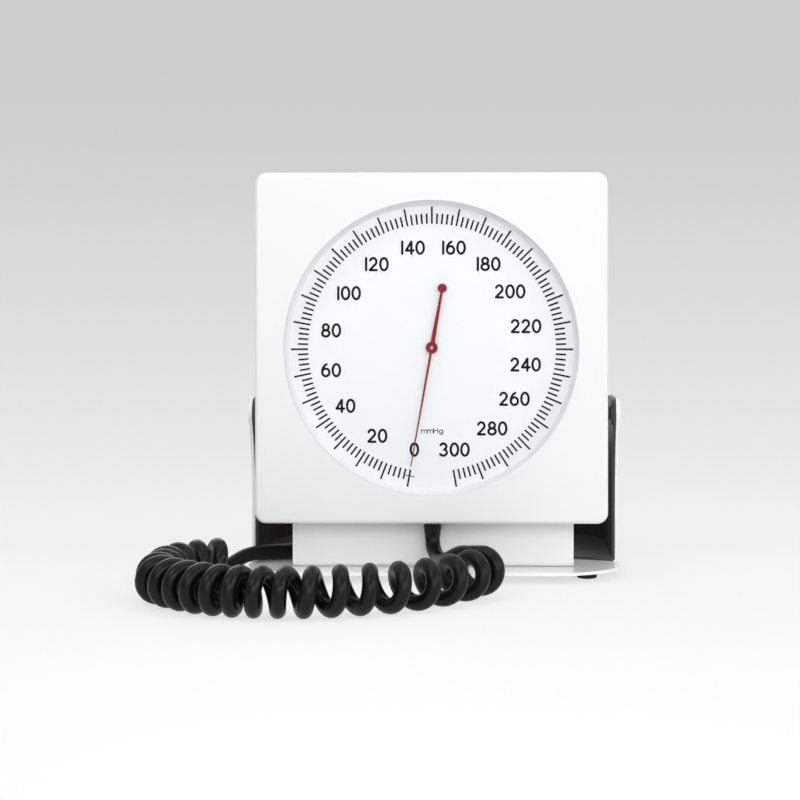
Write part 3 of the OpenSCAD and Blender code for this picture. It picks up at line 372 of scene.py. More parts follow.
print("screws and feet")
panHead = [(1.5, 0), (2.75, 0), (2.8, 0.1), (2.8, 0.5), (2.55, 0.95), (1.9, 1.25), (0.9, 1.4), (0, 1.4)]
widerHead = [(r * 3 / 2.8 if r > 1.5 else r, h * 1.5 / 1.4) for r, h in panHead]
coverHead = [(1.5, 0), (2.8, 0), (2.9, 0.1), (2.9, 1.15), (2.65, 1.45), (2.1, 1.6), (0, 1.6)]
screws = {  # cross: the recess's span, width and depth; top: the head's height
    "coverScrews": {"node": "cover_screws", "body": "gauge_case", "turn": (-90, 0, 0), "shank": 8.4,
                    "radius": 1.5, "head": coverHead, "cross": (3.4, 0.75, 1.0), "top": 1.6,
                    "places": [spot(x, 49.4, caseMiddle + z) for x in (-82.5, 82.5) for z in (-82, 82)]},
    "panelScrews": {"node": "panel_screws", "body": "stand", "turn": (0, 0, 0), "shank": 4.2,
                    "radius": 1.5, "head": panHead, "cross": (3.0, 0.7, 0.9), "top": 1.4,
                    "places": [spot(x, 32, 7.2) for x in (-58, 0, 58)]},
    "trayScrews": {"node": "tray_screws", "body": "stand", "turn": (0, 0, 0), "shank": 5.7,
                   "radius": 1.5, "head": widerHead, "cross": (3.2, 0.75, 0.95), "top": 1.5,
                   "places": [spot(x, depth, 7.6) for x in (-66, 66) for depth in (76, 134)]},
}
lead = 0.3  # the bevel at a shank's end
for name, screw in screws.items():
    shank, thread = screw["shank"], screw["radius"]
    profile = [(0, -shank), (thread - lead, -shank), (thread, lead - shank)] + screw["head"]
    one = turned(name, profile, 32)
    for bar in crossCutter(*screw["cross"], screw["top"]):
        cutWith(one, bar)
    piece = copiesAt(placed(one, (0, 0, 0), screw["turn"]), screw["places"], name)
    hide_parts(screw["node"])
    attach(piece, screw["body"])
    madePieces.append((piece, "screw_steel"))

pivotScrew = {"head": 6.5, "proud": 0.8, "shank": 15.0, "radius": 2.5, "hex": 1.6, "hexDepth": 2.1,
              "place": (96.1, 39.909, 84.2)}
top, rim, thread, shank = (pivotScrew[part] for part in ("proud", "head", "radius", "shank"))
profile = [(0, -shank), (2.2, -shank), (thread, lead - shank), (thread, 0), (rim - 0.1, 0), (rim, 0.08),
           (rim, top - 0.4), (rim - 0.2, top - 0.16), (rim - 0.6, top - 0.03), (rim - 1.1, top), (0, top)]
pair = []
for side in (-1, 1):
    one = turned("pivotScrew", profile, 64)
    clearSelection()
    bpy.ops.mesh.primitive_cylinder_add(vertices=6, radius=pivotScrew["hex"] * mm,
                                        depth=2 * pivotScrew["hexDepth"] * mm, location=(0, 0, top * mm))
    cutWith(one, bpy.context.active_object)
    x, depth, z = pivotScrew["place"]
    pair.append(placed(one, spot(side * x, depth, z), (0, 90 * side, 0)))
pivotScrews = joined(pair, "pivotScrews")
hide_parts("pivot_screws")
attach(pivotScrews, "gauge_case")
madePieces.append((pivotScrews, "pivot_enamel"))

feet = {"places": [spot(x, depth, 0) for x, depth in ((-79, 26), (79, 26), (-60, 142), (60, 142))],
        "rubber": [(0, 1.6), (2.3, 1.6), (2.5, 1.4), (2.5, 0.5), (2.9, 0.05), (4.3, 0), (4.75, 0.15),
                   (5.1, 0.6), (5.2, 1.1), (5.0, 1.35), (5.0, 1.75), (5.3, 2.0), (5.4, 2.5), (5.4, 4.4),
                   (5.3, 4.5), (0, 4.5)],
        "pin": [(0, 1.9), (2.1, 1.6), (2.1, 1.2), (1.8, 0.9), (1.2, 0.75), (0, 0.7)]}
rubberFeet = copiesAt(turned("rubberFoot", feet["rubber"]), feet["places"], "rubberFeet")
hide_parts("rubber_feet")
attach(rubberFeet, "stand")
madePieces.append((rubberFeet, "foot_rubber"))
footPins = copiesAt(turned("footPin", feet["pin"], 32), feet["places"], "footPins")
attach(footPins, "stand")
madePieces.append((footPins, "screw_steel"))

pin = {"radius": 0.85, "bore": 0.3, "proud": 0.34, "ease": 0.08, "depth": 6.58}
outer, bore, top, ease = (pin[part] for part in ("radius", "bore", "proud", "ease"))
profile = [(0, 0), (outer, 0), (outer, top - ease), (outer - ease, top), (bore + ease, top),
           (bore, top - ease), (bore - 0.04, 0.03), (0, 0.03)]
pointerPin = placed(turned("pointerPin", profile, 32), spot(0, pin["depth"], caseMiddle), (90, 0, 0))
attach(pointerPin, "pointer")
madePieces.append((pointerPin, "brass"))

print("effects")


def newGroup(name, inputs, outputs):
    tree = bpy.data.node_groups.new(name, "ShaderNodeTree")
    for label, value in inputs.items():
        socket = tree.interface.new_socket(name=label, in_out="INPUT", socket_type="NodeSocketFloat")
        socket.default_value = value
    for label in outputs:
        tree.interface.new_socket(name=label, in_out="OUTPUT", socket_type="NodeSocketFloat")
    return tree, tree.nodes.new("NodeGroupInput"), tree.nodes.new("NodeGroupOutput")


def addNode(tree, kind, **values):
    node = tree.nodes.new("ShaderNode" + kind)
    for key, value in values.items():
        setattr(node, key, value)
    return node


def fill(node, **values):
    for key, value in values.items():
        node.inputs[key.replace("_", " ")].default_value = value
    return node


def grainGroup():
    tree, source, result = newGroup("fineGrain", {"Scale": 800.0, "Stretch": 1.0, "Cloud Scale": 25.0},
                                    ["Grain", "Cloud"])
    place = addNode(tree, "TexCoord")
    squeeze = addNode(tree, "CombineXYZ")
    fill(squeeze, X=1.0, Y=1.0)
    tree.links.new(source.outputs["Stretch"], squeeze.inputs["Z"])
    scaled = addNode(tree, "VectorMath", operation="MULTIPLY")
    tree.links.new(place.outputs["Object"], scaled.inputs[0])
    tree.links.new(squeeze.outputs[0], scaled.inputs[1])
    fine = fill(addNode(tree, "TexNoise"), Detail=3.0, Roughness=0.55)
    tree.links.new(scaled.outputs[0], fine.inputs["Vector"])
    tree.links.new(source.outputs["Scale"], fine.inputs["Scale"])
    cloud = fill(addNode(tree, "TexNoise"), Detail=4.0, Roughness=0.6)
    tree.links.new(place.outputs["Object"], cloud.inputs["Vector"])
    tree.links.new(source.outputs["Cloud Scale"], cloud.inputs["Scale"])
    tree.links.new(fine.outputs[0], result.inputs["Grain"])
    tree.links.new(cloud.outputs[0], result.inputs["Cloud"])
    return tree


def dustGroup():
    tree, source, result = newGroup("settledDust", {"Scale": 120.0, "Cover": 0.3}, ["Dust"])
    place, shape = addNode(tree, "TexCoord"), addNode(tree, "NewGeometry")
    split = addNode(tree, "SeparateXYZ")
    tree.links.new(shape.outputs["Normal"], split.inputs[0])
    upward = fill(addNode(tree, "MapRange"), From_Min=0.5, From_Max=0.95)
    tree.links.new(split.outputs["Z"], upward.inputs["Value"])
    patches = fill(addNode(tree, "TexNoise"), Detail=6.0, Roughness=0.7)
    tree.links.new(place.outputs["Object"], patches.inputs["Vector"])
    tree.links.new(source.outputs["Scale"], patches.inputs["Scale"])
    spots = fill(addNode(tree, "MapRange"), From_Min=0.45, From_Max=0.75)
    tree.links.new(patches.outputs[0], spots.inputs["Value"])
    both = addNode(tree, "Math", operation="MULTIPLY")
    tree.links.new(upward.outputs[0], both.inputs[0])
    tree.links.new(spots.outputs[0], both.inputs[1])
    cover = addNode(tree, "Math", operation="MULTIPLY")
    tree.links.new(both.outputs[0], cover.inputs[0])
    tree.links.new(source.outputs["Cover"], cover.inputs[1])
    tree.links.new(cover.outputs[0], result.inputs["Dust"])
    return tree


def edgeGroup():
    tree, source, result = newGroup("rubbedEdge", {"Sharpness": 0.56, "Patches": 90.0}, ["Rub"])
    shape, place = addNode(tree, "NewGeometry"), addNode(tree, "TexCoord")
    edge = fill(addNode(tree, "MapRange"), From_Min=0.52)
    tree.links.new(shape.outputs["Pointiness"], edge.inputs["Value"])
    tree.links.new(source.outputs["Sharpness"], edge.inputs["From Max"])
    patches = fill(addNode(tree, "TexNoise"), Detail=5.0)
    tree.links.new(place.outputs["Object"], patches.inputs["Vector"])
    tree.links.new(source.outputs["Patches"], patches.inputs["Scale"])
    both = addNode(tree, "Math", operation="MULTIPLY")
    tree.links.new(edge.outputs[0], both.inputs[0])
    tree.links.new(patches.outputs[0], both.inputs[1])
    tree.links.new(both.outputs[0], result.inputs["Rub"])
    return tree


fineGrain, settledDust, rubbedEdge = grainGroup(), dustGroup(), edgeGroup()


def useGroup(tree, group, **values):
    node = tree.nodes.new("ShaderNodeGroup")
    node.node_tree = group
    return fill(node, **values)


def mixColours(tree, factor, first, second):
    mix = addNode(tree, "Mix", data_type="RGBA")
    tree.links.new(factor, mix.inputs[0])
    for socket, colour in ((mix.inputs[6], first), (mix.inputs[7], second)):
        if hasattr(colour, "is_linked"):
            tree.links.new(colour, socket)
        else:
            socket.default_value = (*colour, 1)
    return mix.outputs[2]


wear = {"cloud": 25.0, "patches": 90.0, "dustTone": (0.45, 0.44, 0.42), "bump": 0.3}


def finishMaterial(name, look):
    material = bpy.data.materials.new(name)
    material.use_nodes = True
    tree = material.node_tree
    shader = tree.nodes["Principled BSDF"]
    fill(shader, Metallic=look.get("metal", 0.0), Coat_Weight=look.get("coat", 0.0),
         Coat_Roughness=look.get("coatRough", 0.1), IOR=1.5, Specular_IOR_Level=look.get("shine", 0.5))
    grain = useGroup(tree, fineGrain, Scale=look["grain"], Stretch=look.get("stretch", 1.0),
                     Cloud_Scale=wear["cloud"])
    colour = mixColours(tree, grain.outputs["Cloud"], look["tone"], look["shade"])
    if "speck" in look:
        colour = mixColours(tree, grain.outputs["Grain"], colour, look["speck"])
    if "rubbed" in look:
        edge = useGroup(tree, rubbedEdge, Patches=wear["patches"])
        colour = mixColours(tree, edge.outputs["Rub"], colour, look["rubbed"])
    if "dust" in look:
        dust = useGroup(tree, settledDust, Cover=look["dust"])
        colour = mixColours(tree, dust.outputs["Dust"], colour, wear["dustTone"])
    tree.links.new(colour, shader.inputs["Base Color"])
    rough = fill(addNode(tree, "MapRange"), From_Min=0.3, From_Max=0.7,
                 To_Min=look["rough"][0], To_Max=look["rough"][1])
    tree.links.new(grain.outputs["Cloud"], rough.inputs["Value"])
    tree.links.new(rough.outputs[0], shader.inputs["Roughness"])
    bump = fill(addNode(tree, "Bump"), Strength=wear["bump"], Distance=look["relief"])
    tree.links.new(grain.outputs["Grain"], bump.inputs["Height"])
    tree.links.new(bump.outputs[0], shader.inputs["Normal"])
    return material


print("finishes")
looks = {  # two tones that drift into each other, grains to the metre, relief in metres
    "stand_enamel": {"tone": (0.9, 0.9, 0.89), "shade": (0.908, 0.908, 0.9), "rough": (0.27, 0.31),
                     "grain": 700, "relief": 0.00002, "coat": 0.4, "coatRough": 0.12, "dust": 0.12},
    "case_plastic": {"tone": (0.79, 0.79, 0.795), "shade": (0.81, 0.81, 0.81), "rough": (0.4, 0.5),
                     "grain": 1500, "relief": 0.000015, "shine": 0.35},
    "cover_plastic": {"tone": (0.84, 0.84, 0.84), "shade": (0.88, 0.88, 0.88), "rough": (0.45, 0.6),
                      "grain": 1300, "relief": 0.00003},
    "dial_enamel": {"tone": (0.93, 0.945, 0.965), "shade": (0.945, 0.955, 0.975), "rough": (0.5, 0.6),
                    "grain": 2500, "relief": 0.000004},
    "pointer_red": {"tone": (0.24, 0.006, 0.012), "shade": (0.3, 0.01, 0.018), "rough": (0.4, 0.5),
                    "grain": 1800, "relief": 0.000008, "shine": 0.3},
    "black_plastic": {"tone": (0.012, 0.012, 0.013), "shade": (0.02, 0.02, 0.021), "rough": (0.35, 0.48),
                      "grain": 1600, "relief": 0.00002, "rubbed": (0.1, 0.1, 0.1)},
    "tray_plastic": {"tone": (0.024, 0.023, 0.021), "shade": (0.034, 0.033, 0.03), "rough": (0.42, 0.58),
                     "grain": 1100, "relief": 0.00006, "dust": 0.08, "rubbed": (0.09, 0.09, 0.09)},
    "foot_rubber": {"tone": (0.014, 0.014, 0.014), "shade": (0.024, 0.024, 0.024), "rough": (0.65, 0.8),
                    "grain": 900, "relief": 0.00006},
    "hose_rubber": {"tone": (0.0015, 0.0015, 0.0018), "shade": (0.003, 0.003, 0.0034),
                    "speck": (0.006, 0.006, 0.007), "rough": (0.31, 0.4), "grain": 1300,
                    "relief": 0.00003, "shine": 0.22},
    "tube_rubber": {"tone": (0.4, 0.22, 0.08), "shade": (0.32, 0.16, 0.05), "rough": (0.4, 0.55),
                    "grain": 900, "relief": 0.00003},
    "connector_plastic": {"tone": (0.6, 0.6, 0.6), "shade": (0.7, 0.7, 0.7), "rough": (0.3, 0.4),
                          "grain": 1500, "relief": 0.00002},
    "screw_steel": {"tone": (0.52, 0.52, 0.53), "shade": (0.62, 0.62, 0.63), "rough": (0.24, 0.36),
                    "metal": 1.0, "grain": 1700, "stretch": 0.2, "relief": 0.00001},
    "plate_steel": {"tone": (0.48, 0.49, 0.5), "shade": (0.58, 0.58, 0.59), "rough": (0.3, 0.45),
                    "metal": 1.0, "grain": 1400, "stretch": 0.06, "relief": 0.00001},
    "arbor_steel": {"tone": (0.5, 0.5, 0.52), "shade": (0.6, 0.6, 0.62), "rough": (0.16, 0.26),
                    "metal": 1.0, "grain": 2200, "stretch": 3.0, "relief": 0.000006},
    "brass": {"tone": (0.6, 0.42, 0.16), "shade": (0.72, 0.52, 0.22), "rough": (0.2, 0.36),
              "metal": 1.0, "grain": 1500, "stretch": 0.15, "relief": 0.00001},
    "capsule_bronze": {"tone": (0.55, 0.33, 0.16), "shade": (0.66, 0.42, 0.22), "rough": (0.25, 0.4),
                       "metal": 1.0, "grain": 1300, "relief": 0.00001},
    "pivot_enamel": {"tone": (0.88, 0.88, 0.88), "shade": (0.91, 0.91, 0.91), "rough": (0.25, 0.35),
                     "grain": 1500, "relief": 0.00001, "coat": 0.3},
}
# the dial ring: the dial's enamel made a little greyer, as painted shade for the recess round the dial
ringPaintedShadeLook = {**looks["dial_enamel"], "tone": (0.9, 0.91, 0.925), "shade": (0.91, 0.92, 0.935)}
inkLook = {"tone": (0.004, 0.004, 0.0045), "shade": (0.008, 0.008, 0.009), "rough": (0.6, 0.75),
           "grain": 3000, "relief": 0.000002, "shine": 0.2}
glass = {"ior": 1.46, "body": (0.985, 0.992, 0.99, 1), "clear": (0.99, 0.995, 0.995, 1), "mirror": 0.5,
         "rough": 0.02, "grain": 90.0, "cloud": 12.0}
finishes = {name: finishMaterial(name, look) for name, look in looks.items()}


def glassMaterial():
    material = bpy.data.materials.new("dial_glass")
    material.use_nodes = True
    tree = material.node_tree
    shader = tree.nodes["Principled BSDF"]
    fill(shader, Transmission_Weight=1.0, IOR=glass["ior"], Base_Color=glass["body"])
    grain = useGroup(tree, fineGrain, Scale=glass["grain"], Cloud_Scale=glass["cloud"])
    rough = fill(addNode(tree, "MapRange"), To_Min=0.0, To_Max=glass["rough"])
    tree.links.new(grain.outputs["Cloud"], rough.inputs["Value"])
    tree.links.new(rough.outputs[0], shader.inputs["Roughness"])
    clear = fill(addNode(tree, "BsdfTransparent"), Color=glass["clear"])
    rim = fill(addNode(tree, "Fresnel"), IOR=glass["ior"])
    share = fill(addNode(tree, "MapRange"), To_Max=glass["mirror"])  # thin: mostly straight through
    tree.links.new(rim.outputs[0], share.inputs["Value"])
    mix = addNode(tree, "MixShader")
    tree.links.new(share.outputs[0], mix.inputs[0])
    tree.links.new(clear.outputs[0], mix.inputs[1])
    tree.links.new(shader.outputs[0], mix.inputs[2])
    tree.links.new(mix.outputs[0], tree.nodes["Material Output"].inputs["Surface"])
    return material


finishes["dial_glass"] = glassMaterial()
nodeSlots = {row["node"]: row["material_slot"] for row in frame["record"]["subparts"]}


def dress(piece, finish):
    piece.data.materials.clear()
    piece.data.materials.append(finishes[finish])


for name, node in nodes.items():
    dress(node, nodeSlots[name])
# the ring's own finish carries that painted shade
finishes["dialRing"] = finishMaterial("dial_ring", ringPaintedShadeLook)
madePieces += [(hoseDrop, "hose_rubber"), (hoseCurls, "hose_rubber"),
               (hoseConnector, "connector_plastic")]
for piece, slot in madePieces:
    dress(piece, "dialRing" if piece.name == "dialRing" else slot)

print("dial print")
dial = {"front": frontY + 8.6, "turnPerMark": 340 / 150, "start": 10, "inner": 62.6, "outer": 71.3,
        "shortOuter": 67.8, "wide": 0.9, "proud": 0.04, "longMarks": 31, "shortBetween": 4}
layout = {"middle": (432.0, 347.9), "perMm": 1.981}  # the grid on which the print's places are given
digit = {"high": 6.1, "drawnHigh": 5.6, "wide": 3.7, "pen": 0.61, "gap": 1.65, "barGap": 1.85}
unit = {"place": (431.9, 431.2), "high": 2.6, "drawnHigh": 10, "wide": 0.33, "pen": 0.2, "halfLength": 16,
        "halfHeight": 0.4}
zeroBar = {"out": 65.8, "angles": (7.6, 9.6, 11.6)}  # a short arc across the mark of 0
penEnd = (6, 30, 60)  # degrees at which a stroke's round end has a ring


def bow(x, z, wide, high, start, end, step=12):
    count = max(2, round(abs(end - start) / step))
    angles = [math.radians(start + (end - start) * k / count) for k in range(count + 1)]
    return [(x + wide * math.cos(a), z + high * math.sin(a)) for a in angles]


def ring(x, z, wide, high):
    return bow(x, z, wide, high, 90, 450)[:-1]


strokes = {  # for each digit its strokes: closed or open, and the pen's way
    "0": [(True, ring(1.85, 2.8, 1.85, 2.8))],
    "1": [(False, [(0, 0), (0, 5.6)])],
    "2": [(False, bow(1.72, 3.95, 1.62, 1.65, 160, -35) + [(0.1, 0.1)]),
          (False, [(0.1, 0.05), (3.5, 0.05)])],
    "3": [(False, bow(1.6, 4.18, 1.55, 1.42, 150, -80) + bow(1.6, 1.42, 1.8, 1.42, 75, -150))],
    "4": [(False, [(2.75, 0), (2.75, 5.5)]), (False, [(2.7, 5.5), (0.1, 1.55)]),
          (False, [(0.1, 1.5), (3.9, 1.5)])],
    "6": [(True, ring(1.85, 1.75, 1.8, 1.75)), (False, bow(3.6, 1.9, 3.55, 3.9, 178, 112, 8))],
    "8": [(True, ring(1.85, 4.22, 1.45, 1.38)), (True, ring(1.85, 1.44, 1.82, 1.44))],
}
numbers = {"0": (414.5, 449.8), "20": (377.3, 436.1), "40": (345.3, 406.1), "60": (331, 370.4),
           "80": (331, 330.6), "100": (349, 293.3), "120": (376.9, 264.3), "140": (413.1, 247.8),
           "160": (454.1, 247.8), "180": (488.8, 264.1), "200": (510.2, 291.6), "220": (526.1, 326.3),
           "240": (525.7, 364.7), "260": (514.5, 399), "280": (492.2, 428.6), "300": (454.5, 449.8)}
unitStrokes = {  # for each letter the step to the next one, and its strokes
    "m": (9.5, [[(0, 0), (0, 6)], [(0, 4)] + bow(2.2, 4.2, 2.1, 2, 160, 20, 35) + [(4.3, 0)],
                [(4.3, 4)] + bow(6.6, 4.2, 2.1, 2, 160, 20, 35) + [(8.8, 0)]]),
    "H": (8.5, [[(0, 0), (0, 9)], [(6.4, 0), (6.4, 9)], [(0, 4.7), (6.4, 4.7)]]),
    "g": (6, [bow(2.6, 3, 2.5, 3, 0, 360, 30),
              [(5.1, 6), (5.1, -1)] + bow(2.7, -1, 2.4, 1.8, 0, -150, 30)]),
}


def addStroke(curve, points, closed, pen):  # an open stroke gets round ends
    shape = [Vector(p) for p in points]
    radii = [1.0] * len(shape)
    if not closed:
        for end, inner in ((0, 1), (-1, -2)):
            back = (shape[inner] - shape[end]).normalized()
            tips = [(shape[end] - back * pen * math.cos(math.radians(a)), math.sin(math.radians(a)))
                    for a in penEnd]
            if end == 0:
                shape = [p for p, r in tips] + shape
                radii = [r for p, r in tips] + radii
            else:
                shape = shape + [p for p, r in reversed(tips)]
                radii = radii + [r for p, r in reversed(tips)]
    spline = curve.splines.new("POLY")
    spline.points.add(len(shape) - 1)
    for point, place, radius in zip(spline.points, shape, radii):
        point.co = (place[0], place[1], 0, 1)
        point.radius = radius
    spline.use_cyclic_u = closed


def penCurve(name, pen):
    bpy.ops.curve.primitive_nurbs_path_add()
    piece = bpy.context.active_object
    piece.name = name
    piece.data.splines.clear()
    piece.data.dimensions = "3D"
    piece.data.bevel_depth = pen
    piece.data.bevel_resolution = 1  # six-sided, as the print is nearly flat
    return piece


def layOnDial(piece, pen):  # stands the print up and presses it nearly flat
    bpy.ops.object.convert(target="MESH")
    bpy.ops.object.shade_smooth()
    piece.rotation_euler = (math.radians(90), 0, 0)
    piece.scale = (mm, mm, dial["proud"] / pen * mm)
    piece.location = (0, dial["front"] * mm, caseMiddle * mm)
    return settle(piece)


def fromGrid(place):  # mm to the right of the dial's middle, and above it
    middle, perMm = layout["middle"], layout["perMm"]
    return (place[0] - middle[0]) / perMm, (middle[1] - place[1]) / perMm


def numberPrint():
    piece = penCurve("dialNumbers", digit["pen"])
    for text, place in numbers.items():
        x, z = fromGrid(place)
        widths = [0.0 if mark == "1" else digit["wide"] for mark in text]
        gaps = [digit["barGap"] if mark == "1" else digit["gap"] for mark in text[:-1]]
        left = x - (sum(widths) + sum(gaps)) / 2
        for i, mark in enumerate(text):
            for closed, points in strokes[mark]:
                points = [(left + a, z + digit["high"] * (b / digit["drawnHigh"] - 0.5))
                          for a, b in points]
                addStroke(piece.data, points, closed, digit["pen"])
            left += widths[i] + (gaps[i] if i < len(gaps) else 0)
    return layOnDial(piece, digit["pen"])


def unitPrint():
    piece = penCurve("dialUnit", unit["pen"])
    size = unit["high"] / unit["drawnHigh"]
    x, z = fromGrid(unit["place"])
    left, base = x - unit["wide"] * unit["halfLength"], z - unit["high"] * unit["halfHeight"]
    for letter in "mmHg":
        step, lines = unitStrokes[letter]
        for points in lines:
            points = [(left + a * unit["wide"], base + b * size) for a, b in points]
            addStroke(piece.data, points, False, unit["pen"])
        left += step * unit["wide"]
    angles = [math.radians(a) for a in zeroBar["angles"]]
    bar = [(math.sin(a) * -zeroBar["out"], math.cos(a) * -zeroBar["out"]) for a in angles]
    addStroke(piece.data, bar, False, unit["pen"])
    return layOnDial(piece, unit["pen"])


def spin(centre, degrees, steps):
    bpy.ops.mesh.spin(steps=steps, dupli=True, angle=math.radians(degrees), center=centre, axis=(0, 1, 0))


def scaleMarks():
    marks = []
    centre = (0, 0, caseMiddle * mm)
    step, between, long = dial["turnPerMark"], dial["shortBetween"], dial["longMarks"]
    for outer, first in ((dial["outer"], 0), (dial["shortOuter"], 1)):
        height = caseMiddle - (dial["inner"] + outer) / 2
        bpy.ops.mesh.primitive_cube_add(size=1, location=(0, dial["front"] * mm, height * mm))
        mark = bpy.context.active_object
        mark.scale = (dial["wide"] * mm, 2 * dial["proud"] * mm, (outer - dial["inner"]) * mm)
        settle(mark)
        bpy.ops.object.mode_set(mode="EDIT")
        bpy.ops.mesh.select_all(action="SELECT")
        bpy.ops.transform.rotate(value=math.radians(dial["start"] + first * step), orient_axis="Y",
                                 center_override=centre)
        if first:  # the short marks between two long ones, then all their groups
            spin(centre, step * (between - 1), between - 1)
            bpy.ops.mesh.select_all(action="SELECT")
            spin(centre, step * (between + 1) * (long - 2), long - 2)
        else:
            spin(centre, step * (between + 1) * (long - 1), long - 1)
        bpy.ops.object.mode_set(mode="OBJECT")
        marks.append(mark)
    return joined(marks, "dialMarks")


finishes["dialInk"] = finishMaterial("dial_ink", inkLook)
for piece in (numberPrint(), unitPrint(), scaleMarks()):
    dress(piece, "dialInk")
    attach(piece, "gauge_case")

print("studio")
paper = {"size": 120, "near": (0.03, -0.45, 0.0), "tone": (0.85, 0.85, 0.85, 1), "rough": 0.9,
         "shine": 0.1, "glow": 0.72, "glowFrom": 0.4, "glowTo": 1.2}
room = {"ambient": 0.4, "skyTop": 0.143, "behindCamera": -0.9, "dimmer": 0.75}
paintedFloorLight = [  # painted light on the paper: its tone, 0 to 255, brightest at the near spot and dimmer with the distance in metres from it
    (0.0, 254), (0.09, 253), (0.19, 250.5), (0.32, 246.7), (0.5, 244.8), (0.8, 240.3), (1.3, 233),
    (1.85, 230.7), (2.45, 228.5), (7.4, 224.5), (30, 222.5)]
skyTones = [  # the same above the horizon, by the height of the view
    (0.0, 222), (0.0111, 220), (0.0388, 217), (0.0665, 212), (0.094, 208), (0.121, 206), (0.143, 205)]


def linear(level):  # a screen tone as an amount of light
    level = level / 255
    return ((level + 0.055) / 1.055) ** 2.4


def toneRamp(tree, tones):  # tones: share of the ramp, level
    ramp = addNode(tree, "ValToRGB")
    elements = ramp.color_ramp.elements
    elements[0].position, elements[1].position = 0.0, 1.0
    for share, level in tones:
        tone = linear(level)
        if share < 1.0:
            element = elements[0] if share <= 0.0 else elements.new(share)
            element.color = (tone, tone, tone, 1)
    elements[len(elements) - 1].color = (tone, tone, tone, 1)
    return ramp


def calculate(tree, operation, first, second):
    step = addNode(tree, "Math", operation=operation)
    for socket, value in zip(step.inputs, (first, second)):
        if hasattr(value, "is_linked"):
            tree.links.new(value, socket)
        else:
            socket.default_value = value
    return step.outputs[0]


def seenRay(tree, ray):  # straight from the camera, or by a mirror or the glass
    seen = calculate(tree, "MAXIMUM", ray.outputs["Is Camera Ray"], ray.outputs["Is Glossy Ray"])
    return calculate(tree, "MAXIMUM", seen, ray.outputs["Is Transmission Ray"])


def mixShaders(tree, share, first, second):
    mix = addNode(tree, "MixShader")
    for socket, output in zip(mix.inputs, (share, first, second)):
        tree.links.new(output, socket)
    return mix.outputs[0]


def floorMaterial():
    material = bpy.data.materials.new("floorPaper")
    material.use_nodes = True
    tree = material.node_tree
    shader = tree.nodes["Principled BSDF"]
    fill(shader, Roughness=paper["rough"], Base_Color=paper["tone"], Specular_IOR_Level=paper["shine"])
    place = addNode(tree, "TexCoord")
    away = addNode(tree, "VectorMath", operation="DISTANCE")
    tree.links.new(place.outputs["Object"], away.inputs[0])
    away.inputs[1].default_value = paper["near"]
    distance = away.outputs["Value"]
    # a painted pool of light: the seen paper is brightest near the object and dimmer far off, and glows
    # with these tones as well as taking the lamps
    share = calculate(tree, "DIVIDE", distance, calculate(tree, "ADD", distance, 1.0))
    ramp = toneRamp(tree, [(reach / (reach + 1), level) for reach, level in paintedFloorLight])
    tree.links.new(share, ramp.inputs[0])
    paint, glow = addNode(tree, "BsdfDiffuse"), addNode(tree, "Emission")
    tree.links.new(ramp.outputs[0], paint.inputs["Color"])
    tree.links.new(ramp.outputs[0], glow.inputs["Color"])
    glowShare = fill(addNode(tree, "MapRange"), From_Min=paper["glowFrom"], From_Max=paper["glowTo"],
                     To_Min=paper["glow"], To_Max=1.0)  # far off, no lamp changes the paper's tone
    tree.links.new(distance, glowShare.inputs["Value"])
    shown = mixShaders(tree, glowShare.outputs[0], paint.outputs[0], glow.outputs[0])
    surface = mixShaders(tree, seenRay(tree, addNode(tree, "LightPath")), shader.outputs[0], shown)
    tree.links.new(surface, tree.nodes["Material Output"].inputs["Surface"])
    return material


bpy.ops.mesh.primitive_plane_add(size=paper["size"])
floor = bpy.context.active_object
floor.name = "floor"
floor.data.materials.append(floorMaterial())


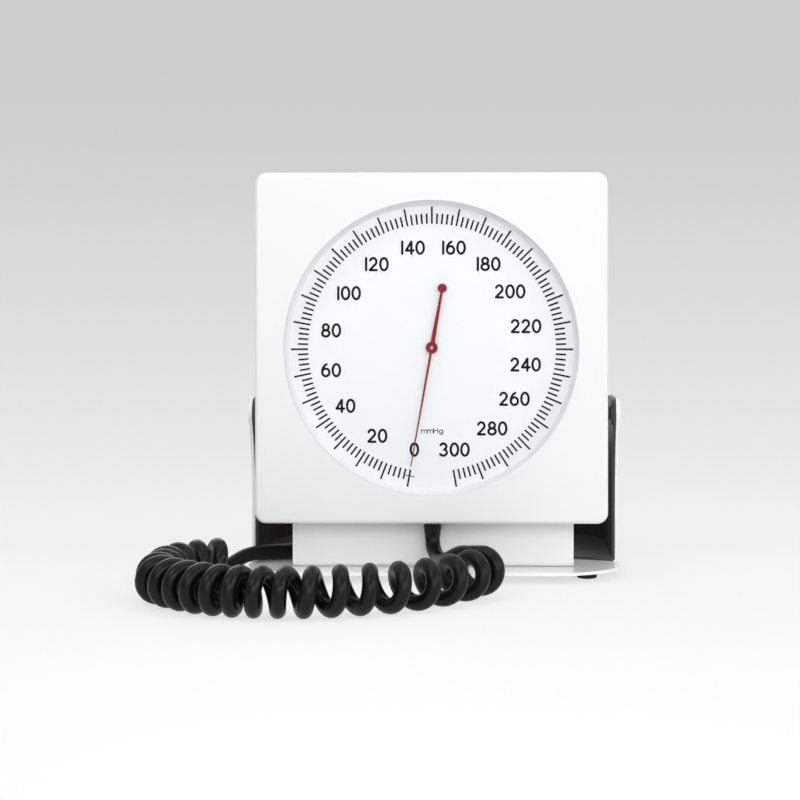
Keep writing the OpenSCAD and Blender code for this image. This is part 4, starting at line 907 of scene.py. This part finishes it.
def makeWorld():
    world = bpy.data.worlds.new("studioWorld")
    bpy.context.scene.world = world
    world.use_nodes = True
    tree = world.node_tree
    shown = tree.nodes["Background"]
    place, split = addNode(tree, "TexCoord"), addNode(tree, "SeparateXYZ")
    tree.links.new(place.outputs["Generated"], split.inputs[0])
    ramp = toneRamp(tree, [(height / room["skyTop"], level) for height, level in skyTones])
    upward = fill(addNode(tree, "MapRange"), From_Max=room["skyTop"])
    tree.links.new(split.outputs["Z"], upward.inputs["Value"])
    tree.links.new(upward.outputs[0], ramp.inputs[0])
    tree.links.new(ramp.outputs[0], shown.inputs["Color"])
    soft = fill(addNode(tree, "Background"), Color=(1, 1, 1, 1), Strength=room["ambient"])
    ray = addNode(tree, "LightPath")
    behind = fill(addNode(tree, "MapRange"), From_Min=room["behindCamera"], From_Max=0.0,
                  To_Min=room["dimmer"], To_Max=0.0)  # mirrored less there, so that the glass stays clear
    tree.links.new(split.outputs["Y"], behind.inputs["Value"])
    dimmed = calculate(tree, "MULTIPLY", behind.outputs[0], ray.outputs["Is Glossy Ray"])
    tree.links.new(calculate(tree, "SUBTRACT", 1.0, dimmed), shown.inputs["Strength"])
    sky = mixShaders(tree, seenRay(tree, ray), soft.outputs[0], shown.outputs[0])
    tree.links.new(sky, tree.nodes["World Output"].inputs["Surface"])


def softbox(name, place, aim, size, power):
    bpy.ops.object.light_add(type="AREA", location=place)
    lamp = bpy.context.active_object
    lamp.name = name
    lamp.data.shape = "RECTANGLE"
    lamp.data.size, lamp.data.size_y = size
    lamp.data.energy = power
    lamp.rotation_euler = (Vector(aim) - Vector(place)).to_track_quat("-Z", "Y").to_euler()


makeWorld()
lamps = {  # place, aim, size, watts
    "keyLight": ((-0.75, -1.1, 1.35), (0, 0, 0.08), (0.9, 0.7), 7),
    "topLight": ((0.1, -0.1, 1.6), (0, 0, 0), (1.2, 1.0), 5),
    "fillLight": ((1.3, -0.9, 0.8), (0, 0, 0.1), (0.8, 0.8), 7),
    "backLight": ((-0.5, 1.6, 1.0), (0, 0, 0.1), (1.4, 0.8), 8),
    "frontLight": ((0.35, -1.9, 0.62), (0, 0, 0.1), (1.6, 0.55), 13),
}
for name, (place, aim, size, power) in lamps.items():
    softbox(name, place, aim, size, power)

bpy.context.scene.view_settings.view_transform = "Standard"
